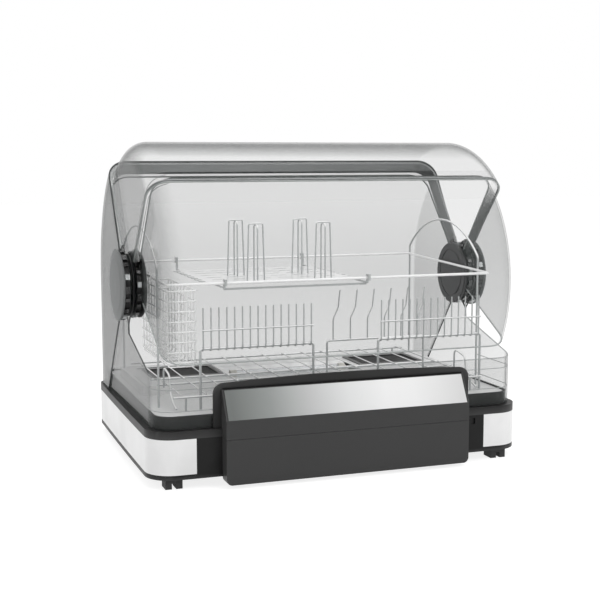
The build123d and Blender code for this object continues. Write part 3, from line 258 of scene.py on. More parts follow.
def noise(tree: bpy.types.NodeTree, size_mm: float, detail: float) -> bpy.types.NodeSocket:
    """Lay a noise pattern whose features have a real size.

    Args:
        tree: The node tree.
        size_mm: Size of one feature in mm.
        detail: Number of octaves of finer noise.

    Returns:
        The pattern's socket.
    """
    place = add_node(tree, "ShaderNodeTexCoord")
    inputs = {"Vector": place.outputs["Object"], "Scale": 1.0 / (size_mm * MM), "Detail": detail}
    return add_node(tree, "ShaderNodeTexNoise", inputs=inputs).outputs[0]


# ---------------------------------------------------------------- finishes
TONE_STOPS = (0.3, 0.7)
GLOSS_DRIFT = 0.15
LEAST_ROUGHNESS = 0.02
BUMP_REACH = 0.0005
WORN_POINTINESS = (0.53, 0.62)
FACING_BLEND = 0.35
OUTLINE_FACING = (0.74, 0.95)
DARK_FACING = 0.8
UPWARD_NORMAL = (0.0, 0.45)


@dataclass(frozen=True)
class Finish:
    """One real material with the way its surface was made."""

    name: str
    colour: str
    roughness: float
    metallic: float = 0.0
    ior: float = 1.5
    coat: float = 0.0
    specular: float = 0.5
    grain_mm: float = 0.8
    grain_depth: float = 0.02
    tone_change: float = 0.06
    tone_mm: float = 60.0
    edge_wear: float = 0.0
    wear_colour: str = "#8c8c8c"

    def shader(self, tree: bpy.types.NodeTree) -> bpy.types.Node:
        """Build the surface's shader with its colour drift, grain, gloss drift and worn edges.

        Args:
            tree: The material's node tree, emptied.

        Returns:
            The Principled shader node.
        """
        drift = noise(tree, self.tone_mm, detail=3.0)
        base = linear(self.colour)
        low = tuple(channel * (1.0 - self.tone_change) for channel in base[:3]) + (1.0,)
        high = tuple(min(1.0, channel * (1.0 + self.tone_change)) for channel in base[:3]) + (1.0,)
        shade = add_node(tree, "ShaderNodeValToRGB", inputs={0: drift})
        ramp(shade, tuple(zip(TONE_STOPS, (low, high))))
        colour = shade.outputs[0]
        if self.edge_wear > 0.0:
            colour = self.worn_edges(tree, colour)
        smoothest = max(LEAST_ROUGHNESS, self.roughness * (1.0 - GLOSS_DRIFT))
        roughest = min(1.0, self.roughness * (1.0 + GLOSS_DRIFT))
        bump = add_node(
            tree,
            "ShaderNodeBump",
            inputs={
                "Strength": self.grain_depth,
                "Distance": BUMP_REACH,
                "Height": noise(tree, self.grain_mm, detail=2.0),
            },
        )
        return add_node(
            tree,
            "ShaderNodeBsdfPrincipled",
            inputs={
                "Base Color": colour,
                "Roughness": mapped(tree, drift, target=(smoothest, roughest)),
                "Metallic": self.metallic,
                "IOR": self.ior,
                "Coat Weight": self.coat,
                "Specular IOR Level": self.specular,
                "Normal": bump.outputs[0],
            },
        )

    def worn_edges(self, tree: bpy.types.NodeTree, colour: bpy.types.NodeSocket) -> bpy.types.NodeSocket:
        """Lighten the outer edges, where hands and cloths polish the surface.

        Args:
            tree: The material's node tree.
            colour: The colour away from the edges.

        Returns:
            The mixed colour's socket.
        """
        shape = add_node(tree, "ShaderNodeNewGeometry")
        edge = mapped(tree, shape.outputs["Pointiness"], WORN_POINTINESS, (0.0, self.edge_wear))
        return blended(tree, edge, colour, linear(self.wear_colour))

    def make(self) -> bpy.types.Material:
        """Make the Blender material."""
        material = bpy.data.materials.new(self.name)
        material.use_nodes = True
        tree = material.node_tree
        tree.nodes.clear()
        surface = self.shader(tree)
        add_node(tree, "ShaderNodeOutputMaterial", inputs={"Surface": surface.outputs[0]})
        return material


@dataclass(frozen=True)
class ClearFinish(Finish):
    """Blow-smooth clear plastic: a thin grey film, denser where it is seen edge-on."""

    face_alpha: float = 0.06
    edge_alpha: float = 0.85
    edge_start: float = 0.3
    edge_colour: str = "#3c3f3e"
    shadow_share: float = 0.15
    cheek_alpha: float = 0.0
    outline_alpha: float = 0.0
    low_alpha: float = 0.0
    low_z: float = 0.22
    high_z: float = 0.38

    def shader(self, tree: bpy.types.NodeTree) -> bpy.types.Node:
        """Build the film's shader.

        Args:
            tree: The material's node tree, emptied.

        Returns:
            The Principled shader node.
        """
        surface = super().shader(tree)
        facing = add_node(tree, "ShaderNodeLayerWeight", inputs={"Blend": FACING_BLEND}).outputs["Facing"]
        shape = add_node(tree, "ShaderNodeTexCoord")
        sideways = split(tree, shape.outputs["Normal"])[0]
        height = split(tree, shape.outputs["Object"])[2]
        held = mapped(tree, facing, (self.edge_start, 1.0), (self.face_alpha, self.edge_alpha))
        for extra in (
            combined(tree, "MULTIPLY", combined(tree, "MULTIPLY", sideways, sideways), self.cheek_alpha),
            mapped(tree, facing, OUTLINE_FACING, (0.0, self.outline_alpha)),
            mapped(tree, height, (self.low_z, self.high_z), (self.low_alpha, 0.0)),
        ):
            held = combined(tree, "ADD", held, extra)
        deep = add_node(tree, "ShaderNodeValToRGB", inputs={0: facing})
        ramp(deep, ((self.edge_start, linear(self.colour)), (DARK_FACING, linear(self.edge_colour))))
        tree.links.new(deep.outputs[0], surface.inputs["Base Color"])
        rays = add_node(tree, "ShaderNodeLightPath")
        lighting = combined(tree, "MAXIMUM", rays.outputs["Is Shadow Ray"], rays.outputs["Is Diffuse Ray"])
        passing = mapped(tree, lighting, target=(1.0, self.shadow_share))
        held = combined(tree, "MULTIPLY", held, passing)
        tree.links.new(held, surface.inputs["Alpha"])
        return surface


@dataclass(frozen=True)
class WireFinish(Finish):
    """A wire's coat with painted shade: white where it faces the light above, painted greyer on its flanks.
    """

    painted_flank_shade: str = "#b4b7b7"

    def shader(self, tree: bpy.types.NodeTree) -> bpy.types.Node:
        """Build the coat's shader.

        Args:
            tree: The material's node tree, emptied.

        Returns:
            The Principled shader node.
        """
        surface = super().shader(tree)
        shape = add_node(tree, "ShaderNodeNewGeometry")
        upward = mapped(tree, split(tree, shape.outputs["Normal"])[2], UPWARD_NORMAL)
        colour = surface.inputs["Base Color"].links[0].from_socket
        mixed = blended(tree, upward, linear(self.painted_flank_shade), colour)
        tree.links.new(mixed, surface.inputs["Base Color"])
        return surface


@dataclass(frozen=True)
class PaintedGradientFinish(Finish):
    """A finish whose tone runs along X as painted light and shade, such as a mirror panel's painted
    reflection or a bow painted lighter at one end.

    Each stop holds a place in metres, a colour and, where the finish lets light through, an opacity.
    """

    stops: tuple[tuple, ...] = ((-0.2, "#808080"), (0.2, "#f0f0f0"))
    lower_painted_shade: float = 1.0
    lower_z: float = 0.095
    upper_z: float = 0.135
    upper_alpha: float = 1.0

    def shader(self, tree: bpy.types.NodeTree) -> bpy.types.Node:
        """Build the shader with its painted gradient along X, its painted darkening towards the bottom, and
        its fade along Z.

        Args:
            tree: The material's node tree, emptied.

        Returns:
            The Principled shader node.
        """
        surface = super().shader(tree)
        place = add_node(tree, "ShaderNodeTexCoord")
        across, _, height = split(tree, place.outputs["Object"])
        first, last = self.stops[0][0], self.stops[-1][0]
        tone = add_node(tree, "ShaderNodeValToRGB", inputs={0: mapped(tree, across, (first, last))})
        ramp(tone, [((stop[0] - first) / (last - first), linear(*stop[1:])) for stop in self.stops])
        rise = (self.lower_z, self.upper_z)
        # Painted darkening towards the bottom of the finish.
        tint = mapped(tree, height, rise, (self.lower_painted_shade, 1.0))
        shaded = add_node(tree, "ShaderNodeVectorMath", {"operation": "SCALE"}, {0: tone.outputs[0], 3: tint})
        tree.links.new(shaded.outputs[0], surface.inputs["Base Color"])
        fade = mapped(tree, height, rise, (1.0, self.upper_alpha))
        cover = combined(tree, "MULTIPLY", tone.outputs["Alpha"], fade)
        tree.links.new(cover, surface.inputs["Alpha"])
        return surface


# Injection-moulded ABS with a fine spark-eroded grain: soft, even highlights.
BODY_ABS = Finish(
    "moulded_black_abs",
    "#1e1e1e",
    0.42,
    ior=1.54,
    specular=0.14,
    grain_mm=0.7,
    grain_depth=0.06,
    edge_wear=0.18,
)
# The console's ABS is polished in the mould, so it looks a little smoother.
CONSOLE_ABS = Finish(
    "polished_black_abs",
    "#1e1e1e",
    0.36,
    ior=1.54,
    specular=0.15,
    grain_mm=1.2,
    grain_depth=0.03,
    edge_wear=0.15,
)


def clear_film(
    name: str,
    face_alpha: float,
    edge_alpha: float,
    edge_start: float,
    cheek_alpha: float = 0.0,
    outline_alpha: float = 0.0,
    low_alpha: float = 0.0,
) -> ClearFinish:
    """Vacuum-formed clear polycarbonate of one wall thickness.

    Args:
        name: The material's name.
        face_alpha: How much of the light the wall holds back, seen square on.
        edge_alpha: How much it holds back, seen edge-on.
        edge_start: Slant at which it begins to thicken.
        cheek_alpha: What the thicker cheeks hold back besides.
        outline_alpha: What the outline holds back besides.
        low_alpha: What the lower half holds back besides.

    Returns:
        The finish.
    """
    return ClearFinish(
        name,
        "#636766",
        0.06,
        ior=1.45,
        specular=0.15,
        grain_depth=0.0,
        tone_change=0.02,
        face_alpha=face_alpha,
        edge_alpha=edge_alpha,
        edge_start=edge_start,
        cheek_alpha=cheek_alpha,
        outline_alpha=outline_alpha,
        low_alpha=low_alpha,
    )


COVER_CLEAR = clear_film("clear_polycarbonate", 0.05, 0.7, 0.6, cheek_alpha=0.2, outline_alpha=0.6)
SHELL_CLEAR = clear_film("thick_clear_polycarbonate", 0.13, 0.95, 0.35, low_alpha=0.09)
TOP_CLEAR = clear_film("top_clear_polycarbonate", 0.06, 0.85, 0.45)
GUARD_CLEAR = clear_film("guard_clear_polycarbonate", 0.12, 0.8, 0.35)


def clear_rim(name: str, colour: str, tone_change: float) -> Finish:
    """Return the finish of a clear cover's rim, where the light inside the sheet comes out dark."""
    return Finish(name, colour, 0.18, ior=1.58, grain_depth=0.0, tone_change=tone_change, tone_mm=25.0)


RIM_CLEAR = clear_rim("polycarbonate_rim", "#3a3d3d", 0.15)
LIP_CLEAR = clear_rim("polycarbonate_lip", "#858888", 0.15)
SOFT_RIM = clear_rim("polycarbonate_fold", "#7d8180", 0.1)
FAINT_RIM = clear_rim("polycarbonate_bead", "#a3a7a6", 0.1)
# Tinted polycarbonate bows inside the covers' edges; the lighter, clearer tone towards their left end is
# painted light.
FRONT_BOW_PAINTED_LIGHT = PaintedGradientFinish(
    "front_bow_polycarbonate",
    "#747676",
    0.2,
    ior=1.58,
    specular=0.2,
    grain_depth=0.0,
    stops=(
        (-0.29, "#b4b7b6", 0.25),
        (-0.2, "#8c8f8e", 0.25),
        (0.2, "#7b7d7d", 0.9),
        (0.29, "#787a7a", 0.95),
    ),
    lower_z=0.36,
    upper_z=0.405,
    upper_alpha=0.05,
)
# The rear bow is painted lighter towards its left end too: painted light.
REAR_BOW_PAINTED_LIGHT = PaintedGradientFinish(
    "rear_bow_polycarbonate",
    "#747676",
    0.2,
    ior=1.58,
    specular=0.2,
    grain_depth=0.0,
    stops=(
        (-0.29, "#c4c7c6", 0.35),
        (-0.262, "#b9bcbb", 0.4),
        (-0.25, "#b0b3b2", 0.9),
        (-0.2, "#a9abab", 1.0),
        (0.2, "#989a9a", 1.0),
        (0.29, "#949696", 1.0),
    ),
)
# Satin lacquer over moulded plastic.
BAND_LACQUER = Finish("satin_silver_lacquer", "#f2f2f2", 0.35, coat=0.3, grain_mm=1.0, grain_depth=0.02)
# Silvered mirror panel: its run from dark grey at the left to near white at the right, and its slight
# darkening at the bottom, are a painted reflection.
PANEL_PAINTED_REFLECTION = PaintedGradientFinish(
    "silvered_panel_painted_reflection",
    "#c8c8c8",
    0.22,
    specular=0.2,
    grain_depth=0.0,
    stops=(
        (-0.173, "#646866"),
        (-0.116, "#8c908e"),
        (-0.058, "#bbbcbc"),
        (0.0, "#dcdddd"),
        (0.058, "#ececec"),
        (0.1, "#ebebeb"),
        (0.145, "#dfdfdf"),
        (0.173, "#d5d5d5"),
    ),
    lower_painted_shade=0.96,
)
# Gloss moulded ABS of the floor tray and drawer.
WHITE_ABS = Finish("gloss_white_abs", "#ececec", 0.25, ior=1.54, grain_depth=0.01, tone_change=0.03)
# Steel wire dipped in polyethylene: rounded, a little waxy.
WIRE_COAT = {"ior": 1.51, "coat": 0.5, "grain_mm": 2.5, "grain_depth": 0.05, "tone_change": 0.03}
BRIGHT_WIRE = Finish("bright_coated_wire", "#fbfbfb", 0.22, **WIRE_COAT)
# Coated wire with painted shade on its flanks; the bright wire has none.
COATED_WIRE = WireFinish("dip_coated_wire", "#fdfdfd", 0.22, **WIRE_COAT)
# Hub nylon: near black at the left hub, grey at the right; the dark left end is painted shade.
HUB_NYLON_SHADED_LEFT = PaintedGradientFinish(
    "moulded_hub_nylon_shaded_left",
    "#454546",
    0.36,
    ior=1.53,
    specular=0.25,
    grain_mm=0.8,
    grain_depth=0.05,
    stops=((-0.295, "#0d0d0d"), (-0.2, "#141414"), (0.2, "#3f3f40"), (0.295, "#434344")),
)
HUB_GLOSS = Finish(
    "polished_black_nylon", "#141414", 0.12, ior=1.55, coat=0.6, grain_mm=4.0, grain_depth=0.1
)
# Light grey blocks among the black hub ribs: painted glints.
HUB_PAINTED_GLINT = Finish(
    "painted_hub_glint",
    "#a9acac",
    0.1,
    metallic=0.3,
    ior=1.58,
    coat=0.5,
    grain_mm=3.0,
    grain_depth=0.2,
    tone_change=0.2,
)
CAP_LACQUER = Finish("satin_cap_lacquer", "#7a7c7c", 0.45, specular=0.08, grain_mm=0.9, grain_depth=0.02)
ZINC_STEEL = Finish("zinc_plated_steel", "#b9bcc0", 0.25, metallic=1.0, grain_mm=0.6, grain_depth=0.05)
FOOT_RUBBER = Finish("moulded_rubber", "#2a2a2a", 0.7, ior=1.52, grain_mm=0.9, grain_depth=0.15)
LAMP_QUARTZ = ClearFinish("quartz_tube", "#e8ecf0", 0.05, ior=1.46, grain_depth=0.0, face_alpha=0.3)
# Near-black rod along the mirror panel's top edge: a painted shadow gap.
SHADOW_GAP_BLACK = Finish("painted_shadow_gap_black", "#080808", 0.6, specular=0.1, grain_mm=0.8, grain_depth=0.08)
BOARD_MASK = Finish(
    "solder_mask", "#1d5a38", 0.35, grain_mm=3.0, grain_depth=0.1, tone_change=0.2, tone_mm=8.0
)
HEATER_FINS = Finish(
    "rolled_aluminium_fins", "#c2c4c6", 0.35, metallic=1.0, grain_mm=1.0, grain_depth=0.05
)
FAN_NYLON = Finish("moulded_black_nylon", "#1c1c1c", 0.5, grain_mm=0.9, grain_depth=0.06)
LAMP_SOCKET = Finish("moulded_ceramic", "#d8d6cf", 0.5, grain_mm=0.7, grain_depth=0.08)
# Dark grey on the air grilles: painted shade of the dark space under their slots.
VENT_PAINTED_SHADE = Finish("vent_painted_shade", "#4b4b4b", 0.35, ior=1.54, grain_mm=0.8, grain_depth=0.04)

SLOT_FINISHES: dict[str, Finish] = {
    "body_black": BODY_ABS,
    "console_black": CONSOLE_ABS,
    "clear_cover": COVER_CLEAR,
    "smoked_bow": REAR_BOW_PAINTED_LIGHT,
    "silver_band": BAND_LACQUER,
    "mirror_panel": PANEL_PAINTED_REFLECTION,
    "white_plastic": WHITE_ABS,
    "white_wire": COATED_WIRE,
    "hub_grey": HUB_NYLON_SHADED_LEFT,
    "cap_silver": CAP_LACQUER,
    "steel": ZINC_STEEL,
    "rubber_black": FOOT_RUBBER,
    "lamp_glass": LAMP_QUARTZ,
    "board_green": BOARD_MASK,
    "heater_aluminium": HEATER_FINS,
    "fan_black": FAN_NYLON,
    "lamp_ceramic": LAMP_SOCKET,
}
NODE_FINISHES: dict[str, Finish] = {
    "air_grille_left": VENT_PAINTED_SHADE,
    "air_grille_right": VENT_PAINTED_SHADE,
    "rear_shell": SHELL_CLEAR,
    "top_cover": TOP_CLEAR,
    "lower_guard": GUARD_CLEAR,
    "front_bow": FRONT_BOW_PAINTED_LIGHT,
}


@dataclass
class Palette:
    """The finishes, each made once."""

    made: dict[str, bpy.types.Material] = field(default_factory=dict)

    def get(self, finish: Finish) -> bpy.types.Material:
        """Return the finish's material, made at its first use."""
        if finish.name not in self.made:
            self.made[finish.name] = finish.make()
        return self.made[finish.name]


def dress(node: bpy.types.Object, material: bpy.types.Material) -> None:
    """Put one material on all slots of a carried-over node."""
    for place in node.material_slots:
        place.material = material
    if not node.material_slots:
        node.data.materials.append(material)


# ---------------------------------------------------------------- piece builders
MOST_REACH = 0.45


def rounded(
    points: Sequence[Point], bends: Sequence[float], closed: bool, steps: int = 5
) -> list[Vector]:
    """Round a route's corners.

    Args:
        points: The route's corners in mm.
        bends: Bend radius at each corner in mm.
        closed: Whether the last point joins the first.
        steps: Runs along each bend.

    Returns:
        The rounded route's points in mm.
    """
    corners = [Vector(point) for point in points]
    route: list[Vector] = []
    for index, (corner, bend) in enumerate(zip(corners, bends)):
        if bend <= 0.0 or (not closed and index in (0, len(corners) - 1)):
            route.append(corner)
            continue
        back = corners[index - 1] - corner
        ahead = corners[(index + 1) % len(corners)] - corner
        turn = math.pi - back.angle(ahead)
        reach = min(bend * math.tan(turn / 2), MOST_REACH * back.length, MOST_REACH * ahead.length)
        start = corner + back.normalized() * reach
        end = corner + ahead.normalized() * reach
        for step in range(steps + 1):
            share = step / steps
            rest = 1 - share
            route.append(rest**2 * start + 2 * share * rest * corner + share**2 * end)
    return route


@dataclass(frozen=True)
class WireRun:
    """One wire: its corners, diameter and bends in mm."""

    points: tuple[Point, ...]
    diameter: float = FINE_WIRE
    bend: float = 3.0
    closed: bool = False

    def route(self) -> list[Vector]:
        """Return the rounded route in mm."""
        return rounded(self.points, [self.bend] * len(self.points), self.closed)


def wire_piece(name: str, runs: Sequence[WireRun]) -> bpy.types.Object:
    """Build one curve object from several wires.

    Args:
        name: The piece's name.
        runs: Its wires.

    Returns:
        The curve object, in place.
    """
    curve = bpy.data.curves.new(name, "CURVE")
    curve.dimensions = "3D"
    curve.bevel_depth = MM  # each point's radius, in mm, multiplies it
    curve.bevel_resolution = 2
    curve.use_fill_caps = True
    for run in runs:
        route = run.route()
        spline = curve.splines.new("POLY")
        spline.points.add(len(route) - 1)
        for point, place in zip(spline.points, route):
            point.co = (*(place * MM), 1.0)
            point.radius = run.diameter / 2
        spline.use_cyclic_u = run.closed
        spline.use_smooth = True
    piece = bpy.data.objects.new(name, curve)
    bpy.context.scene.collection.objects.link(piece)
    return piece


def mesh_piece(name: str, build: bmesh.types.BMesh, sharp_deg: float = 35.0) -> bpy.types.Object:
    """Turn a bmesh, in mm, to a smooth-shaded object with sharp edges kept.

    Args:
        name: The piece's name.
        build: The mesh in mm; it is freed.
        sharp_deg: Edges that turn more than this stay sharp.

    Returns:
        The mesh object, in place.
    """
    bmesh.ops.scale(build, vec=(MM, MM, MM), verts=build.verts)
    bmesh.ops.recalc_face_normals(build, faces=build.faces)
    mesh = bpy.data.meshes.new(name)
    build.to_mesh(mesh)
    build.free()
    mesh.shade_smooth()
    mesh.set_sharp_from_angle(angle=math.radians(sharp_deg))
    piece = bpy.data.objects.new(name, mesh)
    bpy.context.scene.collection.objects.link(piece)
    return piece


def staple_line(half_width: float, radius: float, corner: float, inner_radius: float) -> list[Span]:
    """Open line up one cheek, over the top and down the other, as (x, radius) in mm."""
    line = [(-half_width, inner_radius)]
    for step in range(ARC_STEPS + 1):
        turn = math.radians(90 * step / ARC_STEPS)
        x = -half_width + corner * (1 - math.cos(turn))
        line.append((x, radius - corner * (1 - math.sin(turn))))
    return line + [(-x, reach) for x, reach in reversed(line)]


def add_staple_band(
    build: bmesh.types.BMesh, shell: Shell, angles: Span, skin: Span, inner: float = 50.0
) -> None:
    """Add a band that follows a cover's section, between two lean angles.

    Args:
        build: The mesh in mm that takes the band.
        shell: The cover.
        angles: The band's lean angles in degrees.
        skin: How far the band's outer and inner faces lie inside the cover's outer face.
        inner: Where the band's arms stop, as a distance from the hub axis.
    """
    lines = [
        staple_line(shell.half_width - depth, shell.radius - depth, COVER_CORNER - depth, inner)
        for depth in skin
    ]
    rings = []
    for angle in angles:
        rings.append([[build.verts.new(lean_point(x, reach, angle)) for x, reach in line] for line in lines])
    (a_out, a_in), (b_out, b_in) = rings
    count = len(lines[0])
    for index in range(count - 1):
        after = index + 1
        build.faces.new((a_out[index], a_out[after], b_out[after], b_out[index]))
        build.faces.new((a_in[index], b_in[index], b_in[after], a_in[after]))
        build.faces.new((a_out[index], a_in[index], a_in[after], a_out[after]))
        build.faces.new((b_out[index], b_out[after], b_in[after], b_in[index]))
    for index in (0, count - 1):
        build.faces.new((a_out[index], b_out[index], b_in[index], a_in[index]))


def add_wedge_block(build: bmesh.types.BMesh, xs: Span, radii: Span, angles: Span) -> None:
    """Add a small block that follows a circle about the hub axis.

    Args:
        build: The mesh in mm that takes it.
        xs: Its ends along X.
        radii: Its inner and outer distance from the hub axis.
        angles: Its lean angles in degrees.
    """
    corners = [
        build.verts.new(lean_point(x, radius, angle)) for x in xs for radius in radii for angle in angles
    ]
    for face in ((0, 1, 3, 2), (4, 6, 7, 5), (0, 2, 6, 4), (1, 5, 7, 3), (0, 4, 5, 1), (2, 3, 7, 6)):
        build.faces.new([corners[index] for index in face])


# ---------------------------------------------------------------- studio
PLAIN_WHITE = (1.0, 1.0, 1.0, 1.0)


@dataclass
class Studio:
    """Camera at the photograph's angle, a pale floor and soft lamps, in metres."""

    eye: Vector = field(default_factory=lambda: Vector((-0.6123, -1.702, 0.4548)))
    yaw_deg: float = 19.75
    pitch_deg: float = 7.13
    lens_mm: float = 70.05
    sensor_mm: float = 36.0
    aim: Point = (0.0, 0.0, 0.2)
    floor_reach: float = 9.0
    room_strength: float = 0.5
    floor_glow: float = 0.82

    def add_camera(self) -> None:
        """Place the camera."""
        data = bpy.data.cameras.new("studio_camera")
        data.lens = self.lens_mm
        data.sensor_width = self.sensor_mm
        camera = bpy.data.objects.new("studio_camera", data)
        camera.location = self.eye
        camera.rotation_euler = (math.radians(90.0 - self.pitch_deg), 0.0, -math.radians(self.yaw_deg))
        bpy.context.scene.collection.objects.link(camera)
        bpy.context.scene.camera = camera

    def seen(self, tree: bpy.types.NodeTree) -> bpy.types.NodeSocket:
        """Return a socket that is 1 for the rays that see, mirror or look through to a surface."""
        rays = add_node(tree, "ShaderNodeLightPath").outputs
        seeing = combined(tree, "MAXIMUM", rays["Is Camera Ray"], rays["Is Glossy Ray"])
        return combined(tree, "MAXIMUM", seeing, rays["Is Transmission Ray"])

    def add_world(self) -> None:
        """Light the room evenly and keep its background white."""
        world = bpy.data.worlds.new("studio_world")
        bpy.context.scene.world = world
        world.use_nodes = True
        tree = world.node_tree
        tree.nodes.clear()
        room, white = (
            add_node(tree, "ShaderNodeBackground", inputs={"Color": PLAIN_WHITE, "Strength": strength})
            for strength in (self.room_strength, 1.0)
        )
        mixed = add_node(
            tree, "ShaderNodeMixShader", inputs={0: self.seen(tree), 1: room.outputs[0], 2: white.outputs[0]}
        )
        add_node(tree, "ShaderNodeOutputWorld", inputs={"Surface": mixed.outputs[0]})

    def add_floor(self) -> None:
        """Lay a plain pale floor that looks white and keeps the cabinet's shadow."""
        mesh = bpy.data.meshes.new("studio_floor")
        reach = self.floor_reach
        corners = [(-reach, -reach, 0), (reach, -reach, 0), (reach, reach, 0), (-reach, reach, 0)]
        mesh.from_pydata(corners, [], [(0, 1, 2, 3)])
        floor = bpy.data.objects.new("studio_floor", mesh)
        bpy.context.scene.collection.objects.link(floor)
        material = bpy.data.materials.new("studio_floor_paint")
        material.use_nodes = True
        tree = material.node_tree
        tree.nodes.clear()
        matte = add_node(tree, "ShaderNodeBsdfDiffuse", inputs={"Color": linear("#f0f0f0")})
        faint = add_node(tree, "ShaderNodeBsdfDiffuse", inputs={"Color": linear("#a8a8a8")})
        white = add_node(
            tree, "ShaderNodeEmission", inputs={"Color": PLAIN_WHITE, "Strength": self.floor_glow}
        )
        lifted = add_node(tree, "ShaderNodeAddShader", inputs={0: faint.outputs[0], 1: white.outputs[0]})
        shaders = {0: self.seen(tree), 1: matte.outputs[0], 2: lifted.outputs[0]}
        mixed = add_node(tree, "ShaderNodeMixShader", inputs=shaders)
        add_node(tree, "ShaderNodeOutputMaterial", inputs={"Surface": mixed.outputs[0]})
        mesh.materials.append(material)

    def add_lamp(self, name: str, place: Point, size: float, power: float) -> None:
        """Hang one soft square lamp.

        Args:
            name: The lamp's name.
            place: Where it hangs, in metres.
            size: Its width in metres.
            power: Its power in watts.
        """
        data = bpy.data.lights.new(name, "AREA")
        data.shape = "SQUARE"
        data.size = size
        data.energy = power
        lamp = bpy.data.objects.new(name, data)
        lamp.location = place
        toward = Vector(self.aim) - Vector(place)
        lamp.rotation_euler = toward.to_track_quat("-Z", "Y").to_euler()
        bpy.context.scene.collection.objects.link(lamp)

    def build(self) -> None:
        """Set up the whole studio."""
        bpy.context.scene.view_settings.view_transform = "Standard"
        self.add_camera()
        self.add_world()
        self.add_floor()
        self.add_lamp("key_lamp", (0.9, -1.9, 2.0), size=1.6, power=26.0)
        self.add_lamp("left_lamp", (-2.2, -0.6, 1.4), size=1.4, power=8.0)
        self.add_lamp("top_lamp", (0.0, 0.4, 2.4), size=2.0, power=18.0)


# ---------------------------------------------------------------- sub-assemblies
@dataclass
class SubAssembly:
    """Shared ways to finish a piece."""

    palette: Palette

    def finish(
        self, piece: bpy.types.Object, finish: Finish, slot: str, body: Body, stands_for: Sequence[str] = ()
    ) -> None:
        """Give a piece its material and body.

        Args:
            piece: The new piece.
            finish: Its finish.
            slot: The record's slot for the piece; not used.
            body: The body that carries it.
            stands_for: CAD nodes that it replaces.
        """
        piece.data.materials.append(self.palette.get(finish))
        if stands_for:
            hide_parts(*stands_for)
        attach(piece, body.value)
        LOG.info("added %s on %s", piece.name, body.value)


